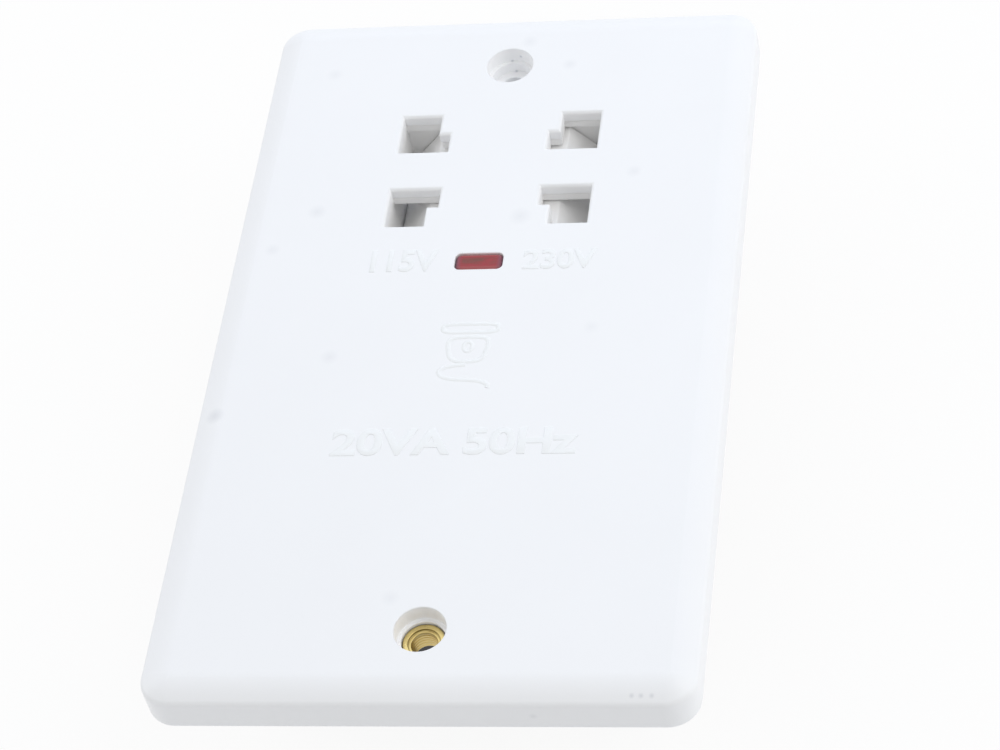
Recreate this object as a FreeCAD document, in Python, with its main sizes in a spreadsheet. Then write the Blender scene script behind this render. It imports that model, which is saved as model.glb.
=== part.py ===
import FreeCAD, Part
import math
import os
import re
import Sketcher

# Dual-voltage shaver socket, lying face up.
# +Z is out of the face, +Y runs to the plate's top end, +X to its right.
# The origin is midway between the two fixing holes, on the wall plane.

# Driving sizes in millimetres: name, value, what it sets
SIZES = (
    ("plate_width", 86.0, "front plate across X"),
    ("plate_length", 146.0, "front plate along Y"),
    ("plate_depth", 7.5, "wall plane to face"),
    ("plate_corner", 5.0, "plan radius of the corners, and width of the rolled border"),
    ("edge_round", 1.2, "radius of the plate's outer edge"),
    ("roll_radius", 8.0, "radius of the border between face and outer edge"),
    ("face_wall", 2.2, "thickness of the face"),
    ("skirt_wall", 2.4, "thickness of the skirt"),
    ("skirt_draft", 0.3, "taper of the skirt's inside"),
    ("skirt_root", 1.1, "skirt's top to the foot of its inner slope"),
    ("fixing_pitch", 120.6, "between the fixing holes"),
    ("fixing_bore", 4.2, "clearance hole for the fixing screw"),
    ("well_bore", 8.2, "well that takes the cap over a screw head"),
    ("well_shelf", 4.5, "height of the lower cap's ledge over the wall plane"),
    ("fixing_ledge", 2.4, "height of the upper well's floor over the wall plane"),
    ("well_ledge", 3.1, "height of the bush's seat over the wall plane"),
    ("boss_wall", 1.7, "wall round each well"),
    ("bush_wall", 0.7, "barrel wall of the earth bush"),
    ("bush_flange", 6.7, "flange diameter of the earth bush"),
    ("bush_gap", 0.15, "clearance round the flange of the earth bush"),
    ("bush_flange_thick", 0.9, "flange thickness of the earth bush"),
    ("bush_step", 0.45, "step down to the earth bush's bore"),
    ("outlet_x", 14.05, "plate centre line to each outlet"),
    ("outlet_y", 35.5, "fixing centre to the middle of the outlets"),
    ("aperture_width", 6.7, "pin aperture across X"),
    ("aperture_near", 4.4, "outlet middle to the near edge of an aperture"),
    ("aperture_far", 12.8, "outlet middle to the far edge of an aperture"),
    ("notch_width", 2.0, "blade notch beyond the aperture, towards the plate's centre"),
    ("notch_length", 4.1, "blade notch along Y"),
    ("lens_y", 14.3, "fixing centre to the lamp window"),
    ("lens_width", 8.2, "lamp window across X"),
    ("lens_height", 3.6, "lamp window along Y"),
    ("lens_corner", 1.0, "corner radius of the lamp window"),
    ("lens_recess", 0.1, "lens front below the face"),
    ("lens_rim", 0.4, "bevel round the lens front"),
    ("lens_flange", 1.2, "flange that holds the lens behind the face"),
    ("lens_wall", 0.9, "wall of the hollow lens"),
    ("lens_gap", 0.08, "clearance round the lens"),
    ("seat_gap", 0.1, "clearance between stacked mouldings"),
    ("slide_gap", 0.2, "clearance round a sliding shutter"),
    ("guide_thick", 1.6, "guide plate over the shutters"),
    ("guide_ease", 0.15, "guide aperture beyond the plate's"),
    ("carrier_wall", 4.8, "side walls of the contact carrier"),
    ("carrier_end_wall", 2.0, "end walls of the contact carrier"),
    ("carrier_corner", 1.0, "bevel of the carrier's corners"),
    ("shutter_height", 7.6, "shutter along Z"),
    ("shutter_cover", 0.8, "shutter beyond the apertures at rest"),
    ("shutter_land", 3.4, "flat top of the shutter before its ramp"),
    ("shutter_toe", 0.5, "shutter thickness at the foot of the ramp"),
    ("shutter_web", 4.2, "foot of the ramp beyond the spring's slot"),
    ("shutter_travel", 7.2, "slide from closed to open"),
    ("spring_post", 2.4, "post between the two shutter springs"),
    ("spring_strip", 0.3, "strip thickness of the shutter spring"),
    ("spring_room", 4.0, "height of the spring's slot under a shutter"),
    ("spring_fold", 5.6, "height of the spring's folds"),
    ("spring_legs", 5, "legs of the spring between its folds"),
    ("contact_strip", 0.6, "thickness of the contact strip"),
    ("contact_width", 7.0, "contact leaf across X"),
    ("contact_base", 5.0, "width of the strip under the contact leaves"),
    ("contact_pinch", 3.0, "gap between the contact leaves"),
    ("contact_tail", 2.6, "contact tail beyond the carrier"),
    ("contact_height", 10.4, "contact leaf along Z"),
    ("contact_grip_level", 6.3, "carrier's back to the pinch of the leaves"),
    ("pocket_ease", 0.5, "contact pocket beyond the contact leaf"),
    ("carrier_depth", 11.5, "carrier below the shutter floor"),
    ("shelf_thick", 1.2, "lamp shelf on the carrier"),
    ("shelf_half_width", 8.0, "lamp shelf to each side"),
    ("shelf_reach", 4.6, "lamp shelf beyond the lamp's axis"),
    ("lamp_diameter", 5.6, "neon lamp bulb"),
    ("lamp_length", 13.0, "neon lamp bulb with its pinch"),
    ("lamp_tip", 1.1, "bevel of the bulb's closed end"),
    ("pinch_length", 2.8, "pinched end of the lamp"),
    ("pinch_width", 3.7, "pinched end across"),
    ("pinch_thick", 1.9, "pinched end through"),
    ("cradle_half_span", 4.6, "lamp axis middle to each cradle rib"),
    ("cradle_rib", 1.2, "thickness of a cradle rib"),
    ("resistor_diameter", 2.2, "series resistor"),
    ("resistor_length", 6.4, "series resistor body"),
    ("cover_half_width", 33.0, "rear cover across X, half"),
    ("cover_low", 50.0, "fixing centre to the cover's lower end"),
    ("cover_high", 53.6, "fixing centre to the cover's upper end"),
    ("cover_depth", 33.0, "wall plane to the cover's back"),
    ("cover_wall", 2.0, "wall of the rear cover"),
    ("cover_corner", 4.0, "plan radius of the rear cover's corners"),
    ("cover_edge", 1.2, "bevel round the cover's back"),
    ("step_y", 20.0, "fixing centre to the step for the terminals"),
    ("ear_reach", 4.5, "cover end to the ear's screw"),
    ("ear_x", 24.0, "plate centre line to the ear's screw"),
    ("ear_width", 8.0, "ear round its screw"),
    ("ear_corner", 2.0, "bevel of the ear's corners"),
    ("ear_thick", 3.0, "thickness of the ear"),
    ("cover_screw", 2.9, "shank of the cover screw"),
    ("cover_screw_head", 5.6, "head of the cover screw"),
    ("cover_screw_grip", 4.2, "cover screw in its pillar"),
    ("screw_head_thick", 2.2, "head thickness of the cover screw"),
    ("screw_slot", 0.9, "width of a screw's slot"),
    ("screw_gap", 0.1, "clearance round a screw shank"),
    ("pillar_wall", 2.2, "wall round the pillar's pilot hole"),
    ("vent_width", 2.0, "vent slot across"),
    ("vent_length", 26.0, "vent slot along"),
    ("vent_pitch", 6.0, "between vent slots"),
    ("back_vents", 7, "vent slots in the cover's back"),
    ("side_vents", 5, "vent slots in each side"),
    ("side_vent_height", 14.0, "side vent slot along Z"),
    ("core_width", 54.0, "laminations across X"),
    ("leg_width", 18.0, "middle leg of the laminations"),
    ("yoke_width", 9.0, "yoke and side legs of the laminations"),
    ("window_length", 27.0, "winding window along Y"),
    ("core_stack", 18.8, "thickness of the lamination stack"),
    ("core_side_gap", 0.4, "laminations to the cover's side ribs"),
    ("core_end_gap", 0.5, "laminations to the cover's lower wall"),
    ("bobbin_wall", 1.0, "bobbin tube"),
    ("bobbin_flange", 1.2, "bobbin flange"),
    ("bobbin_gap", 0.3, "clearance between bobbin and laminations"),
    ("coil_top_gap", 1.9, "bobbin flange to the plate's underside"),
    ("coil_floor_gap", 0.4, "bobbin flange to the cover's floor"),
    ("winding_side_gap", 0.9, "taped winding to the laminations' side legs"),
    ("winding_edge_gap", 0.3, "taped winding below the flange's edge"),
    ("winding_corner", 3.0, "bevel of the winding's corners"),
    ("winding_gap", 0.15, "clearance round the copper"),
    ("tape_thick", 0.4, "tape over each winding"),
    ("post_side", 6.4, "posts that clamp the laminations"),
    ("rib_rise", 4.7, "side ribs beyond the laminations' back"),
    ("cutout_width", 15.0, "thermal cut-out across X"),
    ("cutout_length", 7.0, "thermal cut-out along Y"),
    ("cutout_height", 5.0, "thermal cut-out along Z"),
    ("cutout_tab", 4.0, "blade of the thermal cut-out"),
    ("cutout_tab_width", 3.5, "width of the thermal cut-out's blade"),
    ("cutout_corner", 1.4, "bevel of the thermal cut-out's corners"),
    ("cutout_rib_x", 5.0, "plate centre line to each rib under the cut-out"),
    ("block_half_width", 24.0, "terminal block across X, half"),
    ("block_length", 26.0, "terminal block along Y"),
    ("block_height", 14.4, "terminal block along Z"),
    ("block_corner", 1.1, "bevel of the terminal block's corners"),
    ("terminal_x", 9.5, "plate centre line to each line terminal"),
    ("terminal_width", 8.0, "brass terminal across X"),
    ("terminal_length", 14.0, "brass terminal along Y"),
    ("terminal_height", 9.0, "brass terminal along Z"),
    ("terminal_bore", 4.2, "conductor hole in a terminal"),
    ("terminal_bore_depth", 11.0, "depth of the conductor hole"),
    ("terminal_ease", 0.2, "clearance round a brass terminal"),
    ("entry_bore", 6.2, "conductor entry in the terminal block"),
    ("terminal_wall", 2.2, "block wall behind the terminals"),
    ("tail_width", 4.0, "solder tail of a line terminal"),
    ("tail_thick", 0.8, "thickness of the solder tail"),
    ("tail_reach", 5.0, "solder tail inside the cover"),
    ("clamp_screw", 3.4, "shank of a terminal's clamp screw"),
    ("clamp_screw_out", 3.0, "clamp screw beyond its brass"),
    ("block_screw", 2.5, "shank of the block screw"),
    ("block_screw_head", 5.2, "head of the block screw"),
    ("block_screw_grip", 5.5, "block screw in the carrier"),
    ("block_screw_seat", 6.0, "block under the block screw's head"),
    ("earth_x", 11.5, "plate centre line to the earth terminal"),
    ("earth_side", 8.0, "earth terminal across X and Y"),
    ("earth_height", 8.5, "earth terminal below the wall plane"),
    ("earth_spigot", 3.0, "spigot of the earth terminal"),
    ("strap_thick", 0.8, "earth strap"),
    ("strap_width", 9.0, "earth strap along Y"),
    ("strap_end", 4.8, "earth strap beyond each of its holes"),
    ("strap_corner", 2.2, "bevel of the strap's corners"),
    ("strap_ease", 0.3, "clearance round the strap in its seat"),
)
SIZE_NAMES = {name for name, _, _ in SIZES}

# Levels and places shared by several pieces, as formulas of the driving sizes
UNDERSIDE = "(plate_depth - face_wall)"
ROLL_TURN = "asin((plate_corner - edge_round) / (roll_radius - edge_round))"
ROLL_INSET = f"(plate_corner - roll_radius * sin({ROLL_TURN}))"
ROLL_FOOT = f"(plate_depth - roll_radius * (1 - cos({ROLL_TURN})))"
SKIRT_TOP = f"({ROLL_FOOT} - edge_round * cos({ROLL_TURN}))"
GUIDE_TOP = f"({UNDERSIDE} - seat_gap)"
GUIDE_BOTTOM = f"({GUIDE_TOP} - guide_thick)"
CARRIER_TOP = f"({GUIDE_BOTTOM} - seat_gap)"
SHUTTER_TOP = f"({CARRIER_TOP} - slide_gap)"
SHUTTER_BOTTOM = f"({SHUTTER_TOP} - shutter_height)"
SLOT_TOP = f"({SHUTTER_BOTTOM} + spring_room)"
CHAMBER_FLOOR = f"({SHUTTER_BOTTOM} - slide_gap)"
CARRIER_BOTTOM = f"({CHAMBER_FLOOR} - carrier_depth)"
STEP_FLOOR = f"({CARRIER_BOTTOM} - seat_gap)"
STEP_BACK = f"({STEP_FLOOR} - cover_wall)"
COVER_FLOOR = "(cover_wall - cover_depth)"
COVER_RIM = f"({UNDERSIDE} - seat_gap)"

FIXING_Y = "(fixing_pitch / 2)"
BOSS = "(well_bore + 2 * boss_wall)"
WELL_SEAT = "(bush_flange + 2 * bush_gap)"
BUSH_BARREL = "(fixing_bore + 2 * bush_wall)"
EAR_HIGH_Y = "(cover_high + ear_reach)"
EAR_LOW_Y = "(-cover_low - ear_reach)"
PILOT = "(cover_screw + 2 * screw_gap)"

APERTURE_INNER = "(outlet_x - aperture_width / 2)"
APERTURE_OUTER = "(outlet_x + aperture_width / 2)"
NOTCH_INNER = f"({APERTURE_INNER} - notch_width)"
SHUTTER_INNER = f"({NOTCH_INNER} - shutter_cover)"
SHUTTER_OUTER = f"({APERTURE_OUTER} + guide_ease)"
SLOT_Y = "(aperture_near - shutter_cover)"
SHUTTER_FAR = "(aperture_far + shutter_cover)"
SLOT_END = f"({SHUTTER_OUTER} - shutter_web)"
CHAMBER_X = f"({SHUTTER_OUTER} + slide_gap)"
CHAMBER_Y = f"({SHUTTER_FAR} + slide_gap)"
CARRIER_X = f"({CHAMBER_X} + carrier_wall)"
CARRIER_Y = f"({CHAMBER_Y} + carrier_end_wall)"
CARRIER_LOW = f"(outlet_y - {CARRIER_Y})"
CARRIER_HIGH = f"(outlet_y + {CARRIER_Y})"
POCKET_X = "(contact_width / 2 + pocket_ease)"

LAMP_Z = f"({UNDERSIDE} - lens_flange - lamp_diameter / 2 - seat_gap)"
SHELF_TOP = f"({LAMP_Z} - lamp_diameter / 2 - resistor_diameter - 2 * seat_gap)"

CORE_LOW = "(core_end_gap + cover_wall - cover_low)"
CORE_JOINT = f"({CORE_LOW} + yoke_width)"
WINDOW_HIGH = f"({CORE_JOINT} + window_length)"
CORE_HIGH = f"({WINDOW_HIGH} + yoke_width)"
COIL_LOW = f"({COVER_FLOOR} + coil_floor_gap)"
COIL_HIGH = f"({UNDERSIDE} - coil_top_gap)"
COIL_Z = f"(({COIL_LOW} + {COIL_HIGH}) / 2)"
COIL_HALF = f"(({COIL_HIGH} - {COIL_LOW}) / 2)"
CORE_FRONT = f"({COIL_Z} + core_stack / 2)"
CORE_BACK = f"({COIL_Z} - core_stack / 2)"
POST_X = "(core_width / 2 - yoke_width / 2)"
POST_LOW = f"({CORE_LOW} + yoke_width / 2)"
POST_HIGH = f"({CORE_HIGH} - yoke_width / 2)"
WINDOW_X = "(core_width / 2 - yoke_width)"
TUBE_X = "(leg_width / 2 + bobbin_gap + bobbin_wall)"
TUBE_Z = "(core_stack / 2 + bobbin_gap + bobbin_wall)"
BOBBIN_LOW = f"({CORE_JOINT} + bobbin_gap)"
BOBBIN_HIGH = f"({WINDOW_HIGH} - bobbin_gap)"
CHAMBER_LENGTH = f"(({BOBBIN_HIGH} - {BOBBIN_LOW} - 3 * bobbin_flange) / 2)"
CUTOUT_LOW = f"({CORE_HIGH} + bobbin_gap)"
CUTOUT_FLOOR = f"({COIL_Z} - cutout_height / 2)"

BLOCK_TOP = f"({STEP_BACK} - seat_gap)"
BLOCK_BACK = f"({BLOCK_TOP} - block_height)"
BLOCK_LOW = "(step_y + seat_gap)"
BLOCK_HIGH = f"({BLOCK_LOW} + block_length)"
TERMINAL_LOW = f"({BLOCK_LOW} + terminal_wall + terminal_ease)"
TERMINAL_HIGH = f"({TERMINAL_LOW} + terminal_length)"
TERMINAL_TOP = f"({BLOCK_TOP} - terminal_wall)"
TERMINAL_BACK = f"({TERMINAL_TOP} - terminal_height)"
TERMINAL_AXIS = f"({TERMINAL_TOP} - terminal_height / 2)"
BLOCK_SCREW_X = f"({CHAMBER_X} + carrier_wall / 2)"
BLOCK_SCREW_Y = "outlet_y"

EARTH_Y = f"(-{FIXING_Y})"
OUTLETS = {"115v": -1, "230v": 1}

# Below these, two places count as one and a cut as empty
SAME_PLACE = 1e-4
SMALLEST_CUT = 1e-3


def bound(text):
    """The formula with each size written as a cell of the sheet."""
    return re.sub(r"[a-z_][a-z_0-9]*", lambda m: "Sizes." + m[0] if m[0] in SIZE_NAMES else m[0], str(text))


def value(text):
    """The number that a formula of the sizes comes to."""
    return float(sheet.evalExpression(bound(text)))


def make_sheet():
    """The sheet of driving sizes, one named cell each."""
    cells = doc.addObject("Spreadsheet::Sheet", "Sizes")
    for row, (name, number, meaning) in enumerate(SIZES, 1):
        cells.set(f"A{row}", name)
        cells.set(f"B{row}", str(number))
        cells.set(f"C{row}", meaning)
        cells.setAlias(f"B{row}", name)
    doc.recompute()
    return cells


def bulge(start, end, radius):
    """The arc from start to end, anticlockwise, about a centre on the left of its chord."""
    chord = end - start
    left = FreeCAD.Vector(-chord.y, chord.x, 0).normalize()
    centre = (start + end) / 2 + left * math.sqrt(radius ** 2 - chord.Length ** 2 / 4)
    ring = Part.Circle(centre, FreeCAD.Vector(0, 0, 1), radius)
    return Part.ArcOfCircle(ring, ring.parameter(start), ring.parameter(end))


class Outline:
    """Closed outlines drawn into one sketch, every point bound to the sizes."""

    def __init__(self, sketch):
        self.sketch = sketch

    def datum(self, kind, places, text):
        """A dimension that follows a formula."""
        index = self.sketch.addConstraint(Sketcher.Constraint(kind, *places, value(text)))
        self.sketch.setExpression(f"Constraints[{index}]", bound(text))

    def pin(self, geometry, end, x, y):
        """Holds one end of a curve at a point of the sketch plane."""
        self.datum("DistanceX", (-1, 1, geometry, end), x)
        self.datum("DistanceY", (-1, 1, geometry, end), y)

    def curve(self, points):
        """Sides through the points, in turn: a point is x, y and the next side's radius, or None."""
        places = [FreeCAD.Vector(value(x), value(y), 0) for x, y, _ in points]
        sides = []
        for start, end, (_, _, radius) in zip(places, places[1:] + places[:1], points):
            side = Part.LineSegment(start, end) if radius is None else bulge(start, end, value(radius))
            sides.append(self.sketch.addGeometry(side, False))
        for side, following, (x, y, radius) in zip(sides, sides[1:] + sides[:1], points):
            self.sketch.addConstraint(Sketcher.Constraint("Coincident", side, 2, following, 1))
            self.pin(side, 1, x, y)
            if radius is not None:
                self.datum("Radius", (side,), radius)

    def polygon(self, points):
        """Straight sides through the points, in order."""
        self.curve([(x, y, None) for x, y in points])

    def rectangle(self, x_low, x_high, y_low, y_high):
        """A rectangle between two X and two Y places."""
        self.polygon([(x_low, y_low), (x_high, y_low), (x_high, y_high), (x_low, y_high)])

    def rounded(self, x_low, x_high, y_low, y_high, radius):
        """A rectangle with arcs for corners."""
        left, right = f"({x_low}) + ({radius})", f"({x_high}) - ({radius})"
        low, high = f"({y_low}) + ({radius})", f"({y_high}) - ({radius})"
        self.curve([(left, y_low, None), (right, y_low, radius), (x_high, low, None), (x_high, high, radius),
                    (right, y_high, None), (left, y_high, radius), (x_low, high, None), (x_low, low, radius)])

    def bevelled(self, x_low, x_high, y_low, y_high, bevel):
        """A rectangle with straight bevels for corners."""
        left, right = f"({x_low}) + ({bevel})", f"({x_high}) - ({bevel})"
        low, high = f"({y_low}) + ({bevel})", f"({y_high}) - ({bevel})"
        self.polygon([(left, y_low), (right, y_low), (x_high, low), (x_high, high),
                      (right, y_high), (left, y_high), (x_low, high), (x_low, low)])

    def square(self, x, y, side):
        """A square round a point."""
        half = f"({side}) / 2"
        self.rectangle(f"{x} - {half}", f"{x} + {half}", f"{y} - {half}", f"{y} + {half}")

    def circle(self, x, y, diameter):
        """A circle round a point."""
        centre = FreeCAD.Vector(value(x), value(y), 0)
        ring = self.sketch.addGeometry(
            Part.Circle(centre, FreeCAD.Vector(0, 0, 1), value(diameter) / 2), False)
        self.pin(ring, 3, x, y)
        self.datum("Radius", (ring,), f"({diameter}) / 2")


class Piece:
    """One piece of the socket, built up from sketched features."""

    def __init__(self, label):
        self.body = doc.addObject("PartDesign::Body", label)
        self.body.Label = label
        self.features = 0

    def sketch(self, plane, offset, shift_x="0"):
        """A new sketch on an origin plane, moved along the plane's normal."""
        self.features += 1
        drawing = self.body.newObject("Sketcher::SketchObject", f"{self.body.Label}_sketch_{self.features}")
        support = next(f for f in self.body.Origin.OriginFeatures if f.Role == plane)
        drawing.AttachmentSupport = [(support, "")]
        drawing.MapMode = "FlatFace"
        drawing.setExpression("AttachmentOffset.Base.z", bound(offset))
        if shift_x != "0":
            drawing.setExpression("AttachmentOffset.Base.x", bound(shift_x))
        return drawing

    def feature(self, kind, drawing):
        """A feature of the body that reads one sketch."""
        made = self.body.newObject(f"PartDesign::{kind}", f"{self.body.Label}_{kind.lower()}_{self.features}")
        made.Profile = drawing
        return made

    def pad(self, low, high, draw, plane="XY_Plane"):
        """Material between two places along the plane's axis."""
        offset = f"-({high})" if plane == "XZ_Plane" else low
        drawing = self.sketch(plane, offset)
        draw(Outline(drawing))
        made = self.feature("Pad", drawing)
        made.setExpression("Length", bound(f"({high}) - ({low})"))
        return made

    def pocket(self, low, high, draw, plane="XY_Plane"):
        """A cut between two places along the plane's axis."""
        offset = f"-({low})" if plane == "XZ_Plane" else high
        drawing = self.sketch(plane, offset)
        draw(Outline(drawing))
        made = self.feature("Pocket", drawing)
        made.setExpression("Length", bound(f"({high}) - ({low})"))
        return made

    def loft(self, kind, sections, ruled):
        """A form through outlines drawn at several heights."""
        drawings = []
        for height, draw in sections:
            drawings.append(self.sketch("XY_Plane", height))
            draw(Outline(drawings[-1]))
        made = self.feature(kind, drawings[0])
        made.Sections = drawings[1:]
        made.Ruled = ruled
        return made

    def turned(self, x, y, points, kind="Revolution"):
        """A form turned about an upright axis: the points are radius and height."""
        drawing = self.sketch("XZ_Plane", f"-({y})", x)
        Outline(drawing).curve([(*point, None)[:3] for point in points])
        made = self.feature(kind, drawing)
        made.ReferenceAxis = (drawing, ["V_Axis"])
        made.Angle = 360.0
        return made

    def repeat(self, pattern_of, axis, count, pitch):
        """Copies of a feature in a row, along an axis of the body."""
        doc.recompute()
        row = self.body.newObject("PartDesign::LinearPattern", f"{self.body.Label}_row_{self.features}")
        row.Originals = [pattern_of]
        line = next(f for f in self.body.Origin.OriginFeatures if f.Role == axis)
        row.Direction = (line, [""])
        row.Mode = "Spacing"
        row.setExpression("Occurrences", bound(count))
        row.setExpression("Offset", bound(pitch))
        self.body.Tip = row
        return row

    def dress(self, kind, chosen):
        """A fillet or chamfer on the edges of the piece so far that the test picks."""
        doc.recompute()
        base = self.body.Tip
        edges = [f"Edge{i}" for i, edge in enumerate(base.Shape.Edges, 1) if chosen(edge)]
        self.features += 1
        made = self.body.newObject(f"PartDesign::{kind}", f"{self.body.Label}_{kind.lower()}_{self.features}")
        made.Base = (base, edges)
        return made

    def bevel(self, size, chosen):
        """Bevels the chosen edges."""
        self.dress("Chamfer", chosen).setExpression("Size", bound(size))


def at_height(edge, height):
    """Whether an edge lies wholly at one height."""
    box = edge.BoundBox
    return abs(box.ZMin - height) < SAME_PLACE and abs(box.ZMax - height) < SAME_PLACE


def group(label, master, places):
    """Separate copies of one piece, in one node."""
    copies = []
    for index, (x, y, z) in enumerate(places, 1):
        copy = doc.addObject("App::Link", f"{label}_{index}")
        copy.LinkedObject = master.body
        for axis, text in zip("xyz", (x, y, z)):
            copy.setExpression(f"Placement.Base.{axis}", bound(text))
        copies.append(copy)
    made = doc.addObject("Part::Compound", label)
    made.Label = label
    made.Links = copies
    return made


def aperture_outline(sign_x, sign_y, ease="0"):
    """Corner points of one pin aperture with its blade notch, for a side and an end of the outlets."""
    inner, outer = f"({APERTURE_INNER} - {ease})", f"({APERTURE_OUTER} + {ease})"
    notch = f"({NOTCH_INNER} - {ease})"
    near, far = f"(aperture_near - {ease})", f"(aperture_far + {ease})"
    notch_end = f"(aperture_near + notch_length + {ease})"
    points = [(notch, near), (outer, near), (outer, far), (inner, far),
              (inner, notch_end), (notch, notch_end)]
    return [(f"{sign_x} * {x}", f"outlet_y + {sign_y} * {y}") for x, y in points]


def draw_apertures(outline, ease="0"):
    """The four pin apertures of the two outlets."""
    for sign_x in (-1, 1):
        for sign_y in (-1, 1):
            outline.polygon(aperture_outline(sign_x, sign_y, ease))


def core_posts():
    """Places of the four posts that clamp the laminations' corners."""
    return [(f"{side} * {POST_X}", y) for side in (-1, 1) for y in (POST_LOW, POST_HIGH)]


def draw_block_screws(outline):
    """Clearance holes for the two block screws."""
    for side in (-1, 1):
        outline.circle(f"{side} * {BLOCK_SCREW_X}", BLOCK_SCREW_Y, "block_screw + 2 * screw_gap")


def draw_strap(outline, ease):
    """The earth strap's outline, grown by an ease."""
    reach, half = f"(strap_end + {ease})", f"(strap_width / 2 + {ease})"
    low, high = f"{EARTH_Y} - {half}", f"{EARTH_Y} + {half}"
    outline.bevelled(f"-{reach}", f"earth_x + {reach}", low, high, "strap_corner")


def plate_section(inset, corner):
    """The hollow's outline: the plate's, moved in by an inset, with bevelled corners."""
    half_x, half_y = f"(plate_width / 2 - ({inset}))", f"(plate_length / 2 - ({inset}))"
    return lambda o: o.bevelled(f"-{half_x}", half_x, f"-{half_y}", half_y, corner)


def rolled_edge(reach):
    """Section points of the plate's edge, from the wall plane up the skirt and over the rolled border."""
    return [(reach, "0", None), (reach, SKIRT_TOP, "edge_round"),
            (f"({reach} - {ROLL_INSET})", ROLL_FOOT, "roll_radius"),
            (f"({reach} - plate_corner)", "plate_depth", None)]


def rolled_section(reach):
    """The plate's whole section: two rolled edges and the flat face between them."""
    right = rolled_edge(reach)
    heights = [(f"-{x}", z) for x, z, _ in reversed(right)]
    radii = [radius for _, _, radius in right[-2::-1]] + [None]
    return right + [(x, z, radius) for (x, z), radius in zip(heights, radii)]


def make_front_plate():
    """The moulded front: rolled border, skirt, wells, apertures, lamp window, pillars and posts."""
    plate = Piece("front_plate")
    half_x, half_y = "(plate_width / 2)", "(plate_length / 2)"
    flat_x, flat_y = f"({half_x} - plate_corner)", f"({half_y} - plate_corner)"
    plate.pad(f"-{flat_y}", flat_y, lambda o: o.curve(rolled_section(half_x)), "XZ_Plane")
    plate.pad(f"-{flat_x}", flat_x, lambda o: o.curve(rolled_section(half_y)), "YZ_Plane")
    for side in (-1, 1):
        for end in (-1, 1):
            corner = rolled_edge("plate_corner") + [("0", "0", None)]
            plate.turned(f"{side} * {flat_x}", f"{end} * {flat_y}", corner)
    inner_corner = "(plate_corner - skirt_wall)"
    hollow = [("0", plate_section("skirt_wall", inner_corner)),
              (f"{SKIRT_TOP} - skirt_root", plate_section("skirt_wall + skirt_draft", inner_corner)),
              (UNDERSIDE, plate_section("plate_corner", inner_corner))]
    plate.loft("SubtractiveLoft", hollow, True)
    wells = (FIXING_Y, EARTH_Y)
    plate.pad("0", UNDERSIDE, lambda o: [o.circle("0", y, BOSS) for y in wells])
    pillars = [(f"{side} * ear_x", y) for side in (-1, 1) for y in (EAR_LOW_Y, EAR_HIGH_Y)]
    plate.pad("0", UNDERSIDE, lambda o: [o.square(x, y, f"{PILOT} + 2 * pillar_wall") for x, y in pillars])
    plate.pad(CORE_FRONT, UNDERSIDE, lambda o: [o.square(x, y, "post_side") for x, y in core_posts()])
    earth_pillar = "earth_spigot + 2 * pillar_wall"
    plate.pad("strap_thick", UNDERSIDE, lambda o: o.square("earth_x", EARTH_Y, earth_pillar))
    plate.pocket("0", "strap_thick", lambda o: draw_strap(o, "strap_ease"))
    plate.pocket("fixing_ledge", "plate_depth", lambda o: o.circle("0", wells[0], "well_bore"))
    plate.pocket("0", "fixing_ledge", lambda o: o.circle("0", wells[0], "fixing_bore"))
    plate.pocket("well_shelf", "plate_depth", lambda o: o.circle("0", wells[1], "well_bore"))
    plate.pocket("well_ledge", "well_shelf", lambda o: o.circle("0", wells[1], WELL_SEAT))
    bush_hole = f"{BUSH_BARREL} + 2 * seat_gap"
    plate.pocket("strap_thick", "well_ledge", lambda o: o.circle("0", wells[1], bush_hole))
    plate.pocket("0", "cover_screw_grip + screw_gap", lambda o: [o.circle(x, y, PILOT) for x, y in pillars])
    plate.pocket("strap_thick", "well_ledge + strap_thick",
                 lambda o: o.square("earth_x", EARTH_Y, "earth_spigot + 2 * screw_gap"))
    plate.pocket(UNDERSIDE, "plate_depth", draw_apertures)
    plate.pocket(UNDERSIDE, "plate_depth", lambda o: o.rounded(
        "-lens_width / 2", "lens_width / 2",
        "lens_y - lens_height / 2", "lens_y + lens_height / 2", "lens_corner"))
    return plate.body


def make_neon_lens():
    """The hollow lens: a window that fills its slot and a flange behind the face."""
    lens = Piece("neon_lens")
    half_x, half_y = "(lens_width / 2 - lens_gap)", "(lens_height / 2 - lens_gap)"
    grown_x, grown_y = f"({half_x} + lens_flange)", f"({half_y} + lens_flange)"
    hollow_x, hollow_y = f"({half_x} - lens_wall)", f"({half_y} - lens_wall)"
    back, front = f"({UNDERSIDE} - seat_gap - lens_flange)", "(plate_depth - lens_recess)"

    lens.pad(back, f"{UNDERSIDE} - seat_gap", lambda o: o.rectangle(
        f"-{grown_x}", grown_x, f"lens_y - {grown_y}", f"lens_y + {grown_y}"))
    lens.pad(f"{UNDERSIDE} - seat_gap", front, lambda o: o.rounded(
        f"-{half_x}", half_x, f"lens_y - {half_y}", f"lens_y + {half_y}", "lens_corner - lens_gap"))
    lens.pocket(back, f"{front} - lens_wall", lambda o: o.rectangle(
        f"-{hollow_x}", hollow_x, f"lens_y - {hollow_y}", f"lens_y + {hollow_y}"))
    front_height = value(front)
    lens.bevel("lens_rim", lambda e: at_height(e, front_height))
    return lens.body


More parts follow.
